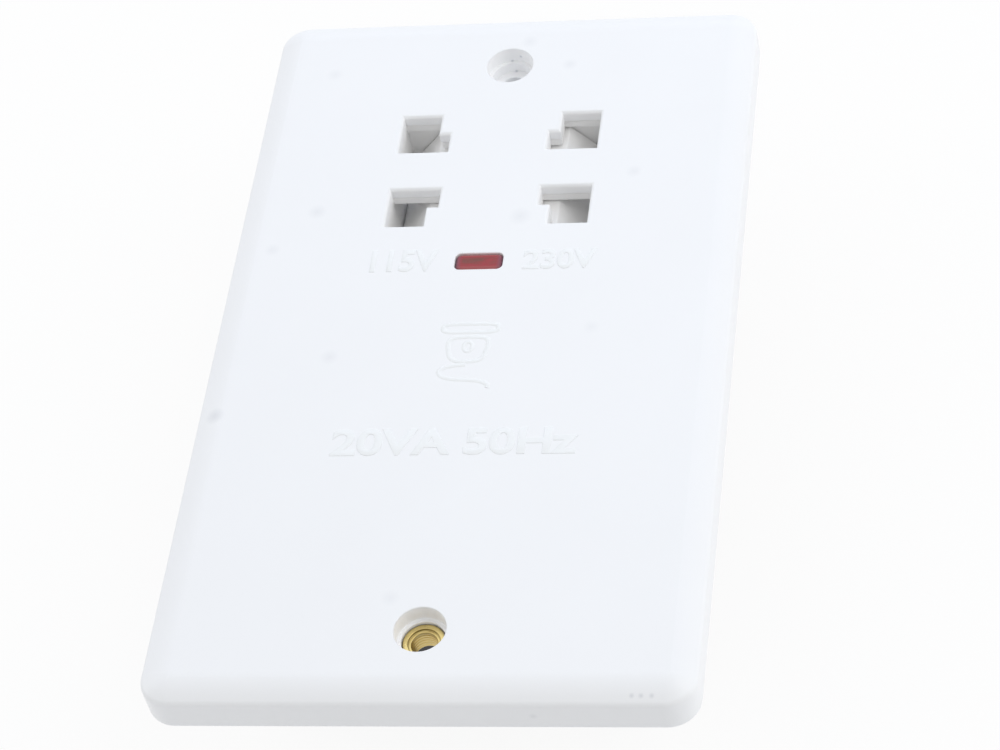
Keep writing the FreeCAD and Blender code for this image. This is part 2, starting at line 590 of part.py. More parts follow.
def make_neon_lamp():
    """The glass lamp, lying across its cradle, with a tapered end and a pinched end."""
    lamp = Piece("neon_lamp")
    bulb = "(lamp_length - pinch_length)"
    low = "(-lamp_length / 2)"
    lamp.pad(low, f"{low} + {bulb}", lambda o: o.circle("lens_y", LAMP_Z, "lamp_diameter"), "YZ_Plane")
    lamp.pad(f"{low} + {bulb}", f"{low} + lamp_length", lambda o: o.rectangle(
        "lens_y - pinch_width / 2", "lens_y + pinch_width / 2",
        f"{LAMP_Z} - pinch_thick / 2", f"{LAMP_Z} + pinch_thick / 2"), "YZ_Plane")
    lamp.bevel("lamp_tip", lambda e: abs(e.BoundBox.XMax - value(low)) < SAME_PLACE)
    return lamp.body


def make_neon_resistor():
    """The lamp's series resistor, a plain barrel on the shelf under the lamp."""
    resistor = Piece("neon_resistor")
    z = f"({SHELF_TOP} + resistor_diameter / 2 + seat_gap / 2)"
    half = "(resistor_length / 2)"
    resistor.pad(f"-{half}", half, lambda o: o.circle("lens_y", z, "resistor_diameter"), "YZ_Plane")
    return resistor.body


def make_shutter_guide():
    """The guide plate between the face and the shutters, with the same four apertures."""
    guide = Piece("shutter_guide")
    guide.pad(GUIDE_BOTTOM, GUIDE_TOP, lambda o: o.bevelled(
        f"-{CARRIER_X}", CARRIER_X, CARRIER_LOW, CARRIER_HIGH, "carrier_corner"))
    guide.pocket(GUIDE_BOTTOM, GUIDE_TOP, lambda o: draw_apertures(o, "guide_ease"))
    return guide.body


def make_contact_carrier():
    """The moulding under the guide: shutter chamber, spring post, contact pockets and lamp shelf."""
    carrier = Piece("contact_carrier")
    carrier.pad(CARRIER_BOTTOM, CARRIER_TOP, lambda o: o.bevelled(
        f"-{CARRIER_X}", CARRIER_X, CARRIER_LOW, CARRIER_HIGH, "carrier_corner"))
    carrier.pocket(CHAMBER_FLOOR, CARRIER_TOP, lambda o: o.rectangle(
        f"-{CHAMBER_X}", CHAMBER_X, f"outlet_y - {CHAMBER_Y}", f"outlet_y + {CHAMBER_Y}"))
    post_y = f"({SLOT_Y} - slide_gap)"
    carrier.pad(CHAMBER_FLOOR, f"{SLOT_TOP} - slide_gap", lambda o: o.rectangle(
        "-spring_post / 2", "spring_post / 2", f"outlet_y - {post_y}", f"outlet_y + {post_y}"))
    pockets = [(side, end) for side in (-1, 1) for end in (-1, 1)]

    def draw_pockets(outline):
        for side, end in pockets:
            near = f"outlet_y + {end} * (aperture_near - pocket_ease)"
            far = f"outlet_y + {end} * {SHUTTER_FAR}"
            low, high = (near, far) if end > 0 else (far, near)
            middle = f"{side} * outlet_x"
            outline.rectangle(f"{middle} - {POCKET_X}", f"{middle} + {POCKET_X}", low, high)

    carrier.pocket(CARRIER_BOTTOM, CHAMBER_FLOOR, draw_pockets)
    channel_top = f"({CARRIER_BOTTOM} + 2 * contact_strip)"
    base_y = "((aperture_near + aperture_far) / 2)"
    half = "(contact_base / 2 + pocket_ease)"

    def draw_channels(outline):
        outline.rectangle("-outlet_x", CARRIER_X,
                          f"outlet_y - {base_y} - {half}", f"outlet_y - {base_y} + {half}")
        for side in (-1, 1):
            ends = sorted((f"{side} * outlet_x", f"{side} * {CARRIER_X}"), key=value)
            outline.rectangle(*ends, f"outlet_y + {base_y} - {half}", f"outlet_y + {base_y} + {half}")

    carrier.pocket(CARRIER_BOTTOM, channel_top, draw_channels)
    carrier.pocket(CARRIER_BOTTOM, f"{CARRIER_BOTTOM} + block_screw_grip + screw_gap", draw_block_screws)
    shelf_low = "(lens_y - shelf_reach)"
    carrier.pad(f"{SHELF_TOP} - shelf_thick", SHELF_TOP, lambda o: o.rectangle(
        "-shelf_half_width", "shelf_half_width", shelf_low, f"{CARRIER_LOW} + carrier_corner"))

    def draw_ribs(outline):
        for side in (-1, 1):
            middle = f"{side} * cradle_half_span"
            outline.rectangle(f"{middle} - cradle_rib / 2", f"{middle} + cradle_rib / 2",
                              shelf_low, CARRIER_LOW)

    carrier.pad(SHELF_TOP, LAMP_Z, draw_ribs)
    carrier.pocket("-shelf_half_width", "shelf_half_width", lambda o: o.circle(
        "lens_y", LAMP_Z, "lamp_diameter + 2 * seat_gap"), "YZ_Plane")
    return carrier.body


def make_shutter(volts, side):
    """A sliding shutter: one ramp under both apertures that a plug's pins push aside, and a spring slot."""
    shutter = Piece(f"shutter_{volts}")
    inner, outer = f"{side} * {SHUTTER_INNER}", f"{side} * {SHUTTER_OUTER}"
    land = f"{side} * ({SHUTTER_INNER} + shutter_land)"
    toe = f"({SHUTTER_BOTTOM} + shutter_toe)"
    ramp = [(inner, SHUTTER_BOTTOM), (outer, SHUTTER_BOTTOM), (outer, toe),
            (land, SHUTTER_TOP), (inner, SHUTTER_TOP)]
    low, high = f"outlet_y - {SHUTTER_FAR}", f"outlet_y + {SHUTTER_FAR}"
    shutter.pad(low, high, lambda o: o.polygon(ramp), "XZ_Plane")
    slot = sorted((inner, f"{side} * {SLOT_END}"), key=value)
    shutter.pocket(SHUTTER_BOTTOM, SLOT_TOP, lambda o: o.rectangle(
        *slot, f"outlet_y - {SLOT_Y}", f"outlet_y + {SLOT_Y}"))
    return shutter.body


def folded_strip(points, thickness):
    """A face as thick as a strip, along a folded centre line: each fold is mitred."""
    path = [FreeCAD.Vector(*p) for p in points]
    runs = [(b - a).normalize() for a, b in zip(path, path[1:])]
    normals = [FreeCAD.Vector(0, -r.z, r.y) for r in runs]
    shifts = [normals[0]]
    for a, b in zip(normals, normals[1:]):
        mid = (a + b).normalize()
        shifts.append(mid / mid.dot(a))
    shifts.append(normals[-1])
    half = thickness / 2
    rim = [p + s * half for p, s in zip(path, shifts)]
    rim += [p - s * half for p, s in reversed(list(zip(path, shifts)))]
    return Part.Face(Part.makePolygon(rim + rim[:1]))


def contact_leaves(side, end):
    """One pair of contact leaves: a strip folded to a U, pinched to grip a pin and flared to guide it in."""
    strip = value("contact_strip")
    floor = value(CARRIER_BOTTOM) + strip / 2
    top = value(CARRIER_BOTTOM) + value("contact_height")
    pinch_z = value(f"{CARRIER_BOTTOM} + contact_grip_level")
    near, far = value("aperture_near") + strip, value("aperture_far") - strip
    middle = (near + far) / 2
    grip = (value("contact_pinch") + strip) / 2
    flare = (far - near) / 2 - strip
    y = value("outlet_y")
    offsets = [(-flare, top), (-grip, pinch_z), (near - middle, floor),
               (far - middle, floor), (grip, pinch_z), (flare, top)]
    points = [(0, y + end * (middle + o), z) for o, z in offsets]
    leaves = folded_strip(points, strip)
    width = value("contact_width")
    leaves.translate(FreeCAD.Vector(side * value("outlet_x") - width / 2, 0, 0))
    return leaves.extrude(FreeCAD.Vector(width, 0, 0))


def contact_base(x_low, x_high, end):
    """The flat strip that carries a contact's leaves, and its solder tail."""
    base_y = value("outlet_y") + end * (value("aperture_near") + value("aperture_far")) / 2
    width = value("contact_base")
    corner = FreeCAD.Vector(x_low, base_y - width / 2, value(CARRIER_BOTTOM))
    return Part.makeBox(x_high - x_low, width, value("contact_strip"), corner)


def folded_piece(label, shape):
    """A piece pressed and folded from strip."""
    made = doc.addObject("Part::Feature", label)
    made.Label = label
    made.Shape = shape.removeSplitter()
    made.Placement = FreeCAD.Placement()
    return made


def make_shutter_spring(volts, side):
    """The strip spring between the carrier's post and the end of a shutter's slot, folded to and fro."""
    strip, width = value("spring_strip"), value("spring_room - 3 * slide_gap")
    start = value("spring_post / 2 + seat_gap") + strip
    end = value(f"{SLOT_END} - seat_gap") - strip
    middle, half = value("outlet_y"), value("spring_fold") / 2
    legs = round(value("spring_legs"))
    folds = [(0, middle + half * (-1) ** i, start + (end - start) * i / legs) for i in range(legs + 1)]
    spring = folded_strip(folds, strip).extrude(FreeCAD.Vector(width, 0, 0))
    spring.rotate(FreeCAD.Vector(), FreeCAD.Vector(0, 1, 0), 90)
    if side < 0:
        spring.rotate(FreeCAD.Vector(0, middle, 0), FreeCAD.Vector(0, 0, 1), 180)
    spring.translate(FreeCAD.Vector(0, 0, value(f"{SLOT_TOP} - 2 * slide_gap")))
    return folded_piece(f"shutter_spring_{volts}", spring)


def make_contacts():
    """The two line contacts and the common contact that both outlets share."""
    tail = value(CARRIER_X) + value("contact_tail")
    reach = value("outlet_x") + value("contact_width") / 2
    made = []
    for volts, side in OUTLETS.items():
        ends = sorted((side * (reach - value("contact_width")), side * tail))
        made.append(folded_piece(f"contact_{volts}", contact_base(*ends, 1).fuse(contact_leaves(side, 1))))
    common = contact_base(-reach, tail, -1).multiFuse([contact_leaves(side, -1) for side in (-1, 1)])
    made.append(folded_piece("common_contact", common))
    return made


def make_core():
    """The lamination stacks: the E with its three legs and the I that closes it."""
    e_stack = Piece("core_e_stack")
    half, leg = "core_width / 2", "leg_width / 2"
    right = [(half, CORE_HIGH), (half, CORE_JOINT), (WINDOW_X, CORE_JOINT), (WINDOW_X, WINDOW_HIGH),
             (leg, WINDOW_HIGH), (leg, CORE_JOINT)]
    left = [(f"-{x}", y) for x, y in reversed(right)]
    e_stack.pad(CORE_BACK, CORE_FRONT, lambda o: o.polygon(right + left))
    i_stack = Piece("core_i_stack")
    i_stack.pad(CORE_BACK, CORE_FRONT, lambda o: o.rectangle(f"-{half}", half, CORE_LOW, CORE_JOINT))
    return [e_stack.body, i_stack.body]


def make_bobbin():
    """The two-chamber bobbin: a square tube with three flanges."""
    bobbin = Piece("bobbin")

    def block(x, z):
        return lambda o: o.rectangle(f"-{x}", x, f"{COIL_Z} - {z}", f"{COIL_Z} + {z}")

    bobbin.pad(BOBBIN_LOW, BOBBIN_HIGH, block(TUBE_X, TUBE_Z), "XZ_Plane")
    flange_x = f"({WINDOW_X} - bobbin_gap)"
    for index in range(3):
        low = f"{BOBBIN_LOW} + {index} * ({CHAMBER_LENGTH} + bobbin_flange)"
        bobbin.pad(low, f"{low} + bobbin_flange", block(flange_x, COIL_HALF), "XZ_Plane")
    bore_x, bore_z = "(leg_width / 2 + bobbin_gap)", "(core_stack / 2 + bobbin_gap)"
    bobbin.pocket(BOBBIN_LOW, BOBBIN_HIGH, block(bore_x, bore_z), "XZ_Plane")
    return bobbin.body


def wound_ring(piece, chamber, inner, outer):
    """A ring wound round the bobbin's tube, in one chamber: each outline is half sizes and a bevel."""
    low = f"{BOBBIN_LOW} + bobbin_flange + {chamber} * ({CHAMBER_LENGTH} + bobbin_flange) + winding_gap"
    high = f"{low} + {CHAMBER_LENGTH} - 2 * winding_gap"

    def loop(x, z, bevel):
        return lambda o: o.bevelled(f"-{x}", x, f"{COIL_Z} - {z}", f"{COIL_Z} + {z}", bevel)

    piece.pad(low, high, loop(*outer), "XZ_Plane")
    piece.pocket(low, high, loop(*inner), "XZ_Plane")


def make_windings():
    """The copper of each chamber and the tape round it."""
    taped_x, taped_z = f"({WINDOW_X} - winding_side_gap)", f"({COIL_HALF} - winding_edge_gap)"
    tube = (f"({TUBE_X} + winding_gap)", f"({TUBE_Z} + winding_gap)", "winding_gap")
    outside = (f"({taped_x} - tape_thick)", f"({taped_z} - tape_thick)", "winding_corner")
    taped = (taped_x, taped_z, "winding_corner")
    made = []
    for chamber, name in enumerate(("primary", "secondary")):
        copper = Piece(f"{name}_winding")
        wound_ring(copper, chamber, tube, outside)
        tape = Piece(f"{name}_tape")
        wound_ring(tape, chamber, outside, taped)
        made += [copper.body, tape.body]
    return made


def make_thermal_cutout():
    """The thermal cut-out that rests beside the laminations: a sealed case with two blades."""
    cutout = Piece("thermal_cutout")
    half, high = "(cutout_width / 2)", f"({CUTOUT_LOW} + cutout_length)"
    low_z, top_z = CUTOUT_FLOOR, f"({CUTOUT_FLOOR} + cutout_height)"
    cutout.pad(low_z, top_z, lambda o: o.bevelled(f"-{half}", half, CUTOUT_LOW, high, "cutout_corner"))
    middle = f"({CUTOUT_LOW} + cutout_length / 2)"
    for side in (-1, 1):
        ends = sorted((f"{side} * {half}", f"{side} * ({half} + cutout_tab)"), key=value)
        cutout.pad(f"{CUTOUT_FLOOR} + tail_thick", f"{CUTOUT_FLOOR} + 2 * tail_thick", lambda o: o.rectangle(
            *ends, f"{middle} - cutout_tab_width / 2", f"{middle} + cutout_tab_width / 2"))
    return cutout.body


def make_rear_cover():
    """The rear cover: a stepped, vented box with ears for its screws and posts for the laminations."""
    cover = Piece("rear_cover")
    half, inner = "cover_half_width", "(cover_half_width - cover_wall)"
    cover.pad("-cover_depth", COVER_RIM, lambda o: o.rounded(
        f"-{half}", half, "-cover_low", "cover_high", "cover_corner"))
    cover.pocket("-cover_depth", STEP_BACK, lambda o: o.rectangle(
        f"-{half} - cover_wall", f"{half} + cover_wall", "step_y", "cover_high + cover_wall"))
    back = -value("cover_depth")
    cover.bevel("cover_edge", lambda e: at_height(e, back))
    inner_corner = "(cover_corner - cover_wall)"
    cover.pocket(COVER_FLOOR, COVER_RIM, lambda o: o.bevelled(
        f"-{inner}", inner, "cover_wall - cover_low", "step_y - cover_wall", inner_corner))
    cover.pocket(STEP_FLOOR, COVER_RIM, lambda o: o.bevelled(
        f"-{inner}", inner, "step_y - 2 * cover_wall - cover_corner",
        "cover_high - cover_wall", inner_corner))
    cover.pad(COVER_FLOOR, CORE_BACK, lambda o: [o.square(x, y, "post_side") for x, y in core_posts()])

    def draw_side_ribs(outline):
        near, far = "(core_width / 2 + core_side_gap)", f"({inner} + cover_wall / 2)"
        for side in (-1, 1):
            for y in (POST_LOW, POST_HIGH):
                ends = sorted((f"{side} * {near}", f"{side} * {far}"), key=value)
                outline.rectangle(*ends, f"{y} - post_side / 2", f"{y} + post_side / 2")

    cover.pad(COVER_FLOOR, f"{CORE_BACK} + rib_rise", draw_side_ribs)

    def draw_cutout_ribs(outline):
        for side in (-1, 1):
            middle = f"{side} * cutout_rib_x"
            outline.rectangle(f"{middle} - cover_wall / 2", f"{middle} + cover_wall / 2",
                              CUTOUT_LOW, f"{CUTOUT_LOW} + cutout_length")

    cover.pad(COVER_FLOOR, CUTOUT_FLOOR, draw_cutout_ribs)
    ear_half = "(ear_width / 2)"
    root = "(cover_wall / 2)"

    rows = ((1, f"cover_high - {root}", EAR_HIGH_Y), (-1, f"{root} - cover_low", EAR_LOW_Y))

    def draw_ears(outline):
        for side in (-1, 1):
            left, right = f"{side} * ear_x - {ear_half}", f"{side} * ear_x + {ear_half}"
            for end, wall, y in rows:
                tip, shoulder = f"{y} + {end} * {ear_half}", f"{y} + {end} * ({ear_half} - ear_corner)"
                outline.polygon([(left, wall), (right, wall), (right, shoulder),
                                 (f"{right} - ear_corner", tip), (f"{left} + ear_corner", tip),
                                 (left, shoulder)])

    cover.pad("-ear_thick", "0", draw_ears)
    ears = [(f"{side} * ear_x", y) for side in (-1, 1) for y in (EAR_LOW_Y, EAR_HIGH_Y)]
    cover.pocket("-ear_thick", "0", lambda o: [o.circle(x, y, PILOT) for x, y in ears])
    cover.pocket(STEP_BACK, STEP_FLOOR, draw_block_screws)
    tail_half_x, tail_half_z = "(tail_width / 2 + terminal_ease)", "(tail_thick / 2 + terminal_ease)"
    tail_low, tail_high = f"{TERMINAL_AXIS} - {tail_half_z}", f"{TERMINAL_AXIS} + {tail_half_z}"
    cover.pocket("step_y - cover_wall", "step_y", lambda o: [o.rectangle(
        f"{side} * terminal_x - {tail_half_x}", f"{side} * terminal_x + {tail_half_x}",
        tail_low, tail_high) for side in (-1, 1)], "XZ_Plane")
    coil_y = f"(({BOBBIN_LOW} + {BOBBIN_HIGH}) / 2)"
    first = "(-(back_vents - 1) / 2 * vent_pitch)"
    slot = cover.pocket("-cover_depth", COVER_FLOOR, lambda o: o.rectangle(
        f"{first} - vent_width / 2", f"{first} + vent_width / 2",
        f"{coil_y} - vent_length / 2", f"{coil_y} + vent_length / 2"))
    cover.repeat(slot, "X_Axis", "back_vents", "vent_pitch")
    lowest = f"({coil_y} - (side_vents - 1) / 2 * vent_pitch)"
    side_slot = cover.pocket(f"-{half} - cover_wall", f"{half} + cover_wall", lambda o: o.rectangle(
        f"{lowest} - vent_width / 2", f"{lowest} + vent_width / 2",
        f"{COIL_Z} - side_vent_height / 2", f"{COIL_Z} + side_vent_height / 2"), "YZ_Plane")
    cover.repeat(side_slot, "Y_Axis", "side_vents", "vent_pitch")
    return cover.body


def make_screw(label, shank, head, head_thick, length):
    """A slotted cheese-head screw standing on its head: the head is below its origin, the shank above."""
    screw = Piece(label)
    back = f"-({head_thick})"
    screw.pad(back, "0", lambda o: o.circle("0", "0", head))
    screw.pad("0", length, lambda o: o.circle("0", "0", shank))
    screw.pocket(back, f"{back} / 2", lambda o: o.rectangle(
        f"-{head}", head, "-screw_slot / 2", "screw_slot / 2"))
    return screw


def make_cover_screws():
    """The four screws that hold the rear cover to the plate."""
    master = make_screw("cover_screw_master", "cover_screw", "cover_screw_head", "screw_head_thick",
                        "(ear_thick + cover_screw_grip)")
    places = [(f"{side} * ear_x", y, "-ear_thick") for side in (-1, 1) for y in (EAR_LOW_Y, EAR_HIGH_Y)]
    return group("cover_screws", master, places)


def make_block_screws():
    """The two screws that hold the terminal block and the contact carrier to the cover's step."""
    length = "(block_screw_seat + 2 * seat_gap + cover_wall + block_screw_grip)"
    master = make_screw("block_screw_master", "block_screw", "block_screw_head", "screw_head_thick", length)
    seat = f"{BLOCK_TOP} - block_screw_seat"
    places = [(f"{side} * {BLOCK_SCREW_X}", BLOCK_SCREW_Y, seat) for side in (-1, 1)]
    return group("block_screws", master, places)


def make_terminal_block():
    """The block behind the step: open chambers for the brass, conductor entries and screw seats."""
    block = Piece("terminal_block")
    block.pad(BLOCK_BACK, BLOCK_TOP, lambda o: o.bevelled(
        "-block_half_width", "block_half_width", BLOCK_LOW, BLOCK_HIGH, "block_corner"))
    half = "(terminal_width / 2 + terminal_ease)"
    sides = (-1, 1)
    block.pocket(BLOCK_BACK, TERMINAL_TOP, lambda o: [o.rectangle(
        f"{side} * terminal_x - {half}", f"{side} * terminal_x + {half}",
        f"{TERMINAL_LOW} - terminal_ease", f"{TERMINAL_HIGH} + terminal_ease") for side in sides])
    block.pocket(TERMINAL_HIGH, f"{BLOCK_HIGH} + terminal_wall", lambda o: [
        o.circle(f"{side} * terminal_x", TERMINAL_AXIS, "entry_bore") for side in sides], "XZ_Plane")
    slot = "(tail_width / 2 + terminal_ease)"
    block.pocket(BLOCK_BACK, f"{TERMINAL_AXIS} + tail_thick / 2 + terminal_ease", lambda o: [o.rectangle(
        f"{side} * terminal_x - {slot}", f"{side} * terminal_x + {slot}",
        f"{BLOCK_LOW} - terminal_wall", TERMINAL_LOW) for side in sides])
    seat = "(block_screw_head / 2 + 2 * screw_gap)"

    def draw_seats(outline):
        for side in sides:
            near, far = f"{side} * ({BLOCK_SCREW_X} - {seat})", f"{side} * (block_half_width + terminal_wall)"
            ends = sorted((near, far), key=value)
            outline.rectangle(*ends, f"{BLOCK_SCREW_Y} - {seat}", f"{BLOCK_SCREW_Y} + {seat}")

    block.pocket(BLOCK_BACK, f"{BLOCK_TOP} - block_screw_seat", draw_seats)
    block.pocket(f"{BLOCK_TOP} - block_screw_seat", BLOCK_TOP, draw_block_screws)
    return block.body


def make_line_terminal(name, side):
    """A brass pillar terminal: conductor hole from the end, clamp screw from behind, solder tail inwards."""
    terminal = Piece(f"{name}_terminal")
    middle = f"{side} * terminal_x"
    terminal.pad(TERMINAL_BACK, TERMINAL_TOP, lambda o: o.rectangle(
        f"{middle} - terminal_width / 2", f"{middle} + terminal_width / 2", TERMINAL_LOW, TERMINAL_HIGH))
    tail_low, tail_high = f"{TERMINAL_AXIS} - tail_thick / 2", f"{TERMINAL_AXIS} + tail_thick / 2"
    terminal.pad(tail_low, tail_high, lambda o: o.rectangle(
        f"{middle} - tail_width / 2", f"{middle} + tail_width / 2",
        "step_y - cover_wall - tail_reach", TERMINAL_LOW))
    terminal.pocket(f"{TERMINAL_HIGH} - terminal_bore_depth", TERMINAL_HIGH,
                    lambda o: o.circle(middle, TERMINAL_AXIS, "terminal_bore"), "XZ_Plane")
    terminal.pocket(TERMINAL_BACK, TERMINAL_AXIS, lambda o: o.circle(
        middle, f"({TERMINAL_LOW} + {TERMINAL_HIGH}) / 2", "clamp_screw + 2 * screw_gap"))
    return terminal.body


def make_clamp_screws():
    """The headless clamp screws of the three terminals, each backed out of its conductor hole."""
    into_brass = "((terminal_height - terminal_bore) / 2 - screw_gap)"
    master = Piece("clamp_screw_master")
    master.pad("0", f"clamp_screw_out + {into_brass}", lambda o: o.circle("0", "0", "clamp_screw"))
    master.pocket("0", "clamp_screw_out / 2", lambda o: o.rectangle(
        "-clamp_screw", "clamp_screw", "-screw_slot / 2", "screw_slot / 2"))
    middle = f"({TERMINAL_LOW} + {TERMINAL_HIGH}) / 2"
    places = [(f"{side} * terminal_x", middle, f"{TERMINAL_BACK} - clamp_screw_out") for side in (-1, 1)]
    places.append(("earth_x", EARTH_Y, "-earth_height - clamp_screw_out"))
    return group("clamp_screws", master, places)


def make_earth_bush():
    """The brass bush in the lower well: a flange on its seat, stepped down to its bore, and a barrel."""
    bush = Piece("earth_bush")
    top = "(well_ledge + bush_flange_thick)"
    step = f"({top} - bush_step)"
    bore, barrel, flange = "(fixing_bore / 2)", f"({BUSH_BARREL} / 2)", "(bush_flange / 2)"
    seat = f"({bore} + bush_step)"
    bush.turned("0", EARTH_Y, [
        (bore, "0"), (barrel, "0"), (barrel, "well_ledge"), (flange, "well_ledge"),
        (flange, top), (seat, top), (seat, step), (bore, step)])
    return bush.body


def make_earth_strap():
    """The strap from the earth bush to the earth terminal, flat on the wall plane."""
    strap = Piece("earth_strap")
    top = "(strap_thick - seat_gap)"
    strap.pad("0", top, lambda o: draw_strap(o, "0"))
    strap.pocket("0", top, lambda o: o.circle("0", EARTH_Y, f"{BUSH_BARREL} + 2 * seat_gap"))
    strap.pocket("0", top, lambda o: o.square("earth_x", EARTH_Y, "earth_spigot + 2 * screw_gap"))
    return strap.body


def make_earth_terminal():
    """The brass earth terminal: a block under the strap, with a square spigot up into the plate's pillar."""
    terminal = Piece("earth_terminal")
    side = "(earth_side / 2)"
    terminal.pad("-earth_height", "-seat_gap", lambda o: o.rectangle(
        f"earth_x - {side}", f"earth_x + {side}", f"{EARTH_Y} - {side}", f"{EARTH_Y} + {side}"))
    terminal.pad("-seat_gap", "well_ledge", lambda o: o.square("earth_x", EARTH_Y, "earth_spigot"))
    axis = "(terminal_height / 2 - earth_height)"
    terminal.pocket(f"earth_x - {side}", f"earth_x + {side}",
                    lambda o: o.circle(EARTH_Y, axis, "terminal_bore"), "YZ_Plane")
    clamp_hole = "clamp_screw + 2 * screw_gap"
    terminal.pocket("-earth_height", axis, lambda o: o.circle("earth_x", EARTH_Y, clamp_hole))
    return terminal.body


def make_pieces():
    """Every piece of the socket."""
    pieces = [make_front_plate(), make_neon_lens(), make_neon_lamp(), make_neon_resistor(),
              make_shutter_guide(), make_contact_carrier()]
    for volts, side in OUTLETS.items():
        pieces += [make_shutter(volts, side), make_shutter_spring(volts, side)]
    pieces += make_contacts() + make_core() + [make_bobbin()] + make_windings()
    pieces += [make_thermal_cutout(), make_rear_cover(), make_cover_screws(), make_terminal_block()]
    pieces += [make_line_terminal("live", -1), make_line_terminal("neutral", 1)]
    pieces += [make_clamp_screws(), make_block_screws()]
    pieces += [make_earth_bush(), make_earth_strap(), make_earth_terminal()]
    return pieces


def check(pieces):
    """Stops if any object failed, a shape is not sound, or a cut removed nothing."""
    for thing in doc.Objects:
        if {"Invalid", "Error"} & set(thing.State):
            raise RuntimeError(f"{thing.Name} failed: {thing.State}")
        if thing.TypeId == "PartDesign::Pocket":
            if thing.BaseFeature.Shape.Volume - thing.Shape.Volume < SMALLEST_CUT:
                raise RuntimeError(f"{thing.Name} cuts nothing")
    for piece in pieces:
        if piece.Shape.isNull() or not piece.Shape.isValid():
            raise RuntimeError(f"{piece.Label} has no sound shape")


doc = FreeCAD.newDocument("ShaverSocket")
sheet = make_sheet()
parts = make_pieces()
doc.recompute()
check(parts)
os.makedirs("parts", exist_ok=True)
for part in parts:
    part.Shape.exportStep(os.path.join("parts", f"{part.Label}.step"))
    print(part.Label, len(part.Shape.Solids), round(part.Shape.Volume, 2), part.Shape.BoundBox)
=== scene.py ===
import contextlib
import math

import bmesh
import bpy
import numpy as np
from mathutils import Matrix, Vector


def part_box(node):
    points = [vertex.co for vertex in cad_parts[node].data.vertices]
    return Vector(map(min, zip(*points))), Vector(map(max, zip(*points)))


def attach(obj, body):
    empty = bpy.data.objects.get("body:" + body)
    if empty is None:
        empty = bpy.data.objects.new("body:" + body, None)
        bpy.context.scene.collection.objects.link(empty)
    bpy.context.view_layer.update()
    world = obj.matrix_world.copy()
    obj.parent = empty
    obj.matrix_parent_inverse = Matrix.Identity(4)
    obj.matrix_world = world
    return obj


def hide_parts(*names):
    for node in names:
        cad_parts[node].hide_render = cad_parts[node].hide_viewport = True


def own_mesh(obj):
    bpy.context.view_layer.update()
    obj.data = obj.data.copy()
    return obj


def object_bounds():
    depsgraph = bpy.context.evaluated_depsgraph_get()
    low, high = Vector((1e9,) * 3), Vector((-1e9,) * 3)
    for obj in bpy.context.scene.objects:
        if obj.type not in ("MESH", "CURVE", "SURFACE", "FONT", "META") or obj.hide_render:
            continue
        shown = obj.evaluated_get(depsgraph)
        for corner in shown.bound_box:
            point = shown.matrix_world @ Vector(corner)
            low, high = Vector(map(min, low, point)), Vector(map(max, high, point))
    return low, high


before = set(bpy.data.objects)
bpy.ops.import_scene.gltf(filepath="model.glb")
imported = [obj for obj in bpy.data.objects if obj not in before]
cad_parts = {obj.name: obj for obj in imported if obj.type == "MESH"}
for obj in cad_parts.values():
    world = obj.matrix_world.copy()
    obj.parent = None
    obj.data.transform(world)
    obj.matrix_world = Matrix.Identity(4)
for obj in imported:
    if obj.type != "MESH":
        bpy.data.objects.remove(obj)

CAD_BOX = [list(corner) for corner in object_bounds()]

bl_info = {
    "name": "Shaver socket finish",
    "version": (1, 0, 0),
    "blender": (4, 5, 0),
    "location": "View3D > Sidebar > Socket",
    "description": "Finishes the packed shaver socket: edges, relief, window, metal parts and the stage",
    "category": "Object",
}

MM = 0.001
HOUSING = "housing"
OUTLETS = {"115v": -1.0, "230v": 1.0}
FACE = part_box("front_plate")[1].z
FLOOR = CAD_BOX[0][2] - 0.05 * MM
FIXING_Y = 60.3 * MM
GLYPH_X = 0.5 * MM
RELIEF_ROOT = 0.3 * MM
EDGE_ANGLE = math.radians(40.0)
CREASE_ANGLE = math.radians(35.0)
WHITE = (1.0, 1.0, 1.0)


def length(label, text, default):
    """A size of the model, in metres."""
    return bpy.props.FloatProperty(name=label, description=text, default=default, unit="LENGTH", precision=5)


def colour(label, text, default):
    """A colour of the model, as linear red, green and blue."""
    return bpy.props.FloatVectorProperty(
        name=label, description=text, default=default, size=3, subtype="COLOR", min=0.0, max=1.0)


def power(label, text, default):
    """The power of a light, in watts."""
    return bpy.props.FloatProperty(name=label, description=text, default=default, unit="POWER")


class SocketSizes(bpy.types.PropertyGroup):
    """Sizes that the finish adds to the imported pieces."""

    plate_rim: length("Plate rims", "Rounding where the plate's face meets its pin openings", 0.5 * MM)
    plate_edge: length("Plate edge", "Rounding of the plate's other edges", 0.15 * MM)
    moulded_edge: length("Moulded edge", "Rounding of the inner mouldings' edges", 0.18 * MM)
    metal_edge: length("Metal edge", "Rounding of the metal pieces' edges", 0.08 * MM)
    lens_edge: length("Window edge", "Rounding of the lamp window's rim", 0.12 * MM)
    relief_height: length("Relief height", "Raised marks above the face", 0.10 * MM)
    relief_stroke: length("Relief stroke", "Width of the raised lines", 0.9 * MM)
    well_bore: length("Well bore", "Bore of the upper well", 8.2 * MM)
    shelf_bore: length("Ledge bore", "Bore of the ledge in the upper well", 7.0 * MM)
    shelf_height: length("Ledge height", "Height of that ledge over the wall plane", 4.6 * MM)
    seat_height: length("Seat height", "Height of the seat under it over the wall plane", 2.6 * MM)
    seat_bore: length("Seat bore", "Bore of that seat", 4.0 * MM)
    well_floor: length("Well floor", "Height of the upper well's floor over the wall plane", 2.4 * MM)
    spring_strip: length("Spring strip", "Thickness of the shutter springs", 0.3 * MM)
    wire_pitch: length("Wire pitch", "Between turns of the windings", 0.42 * MM)


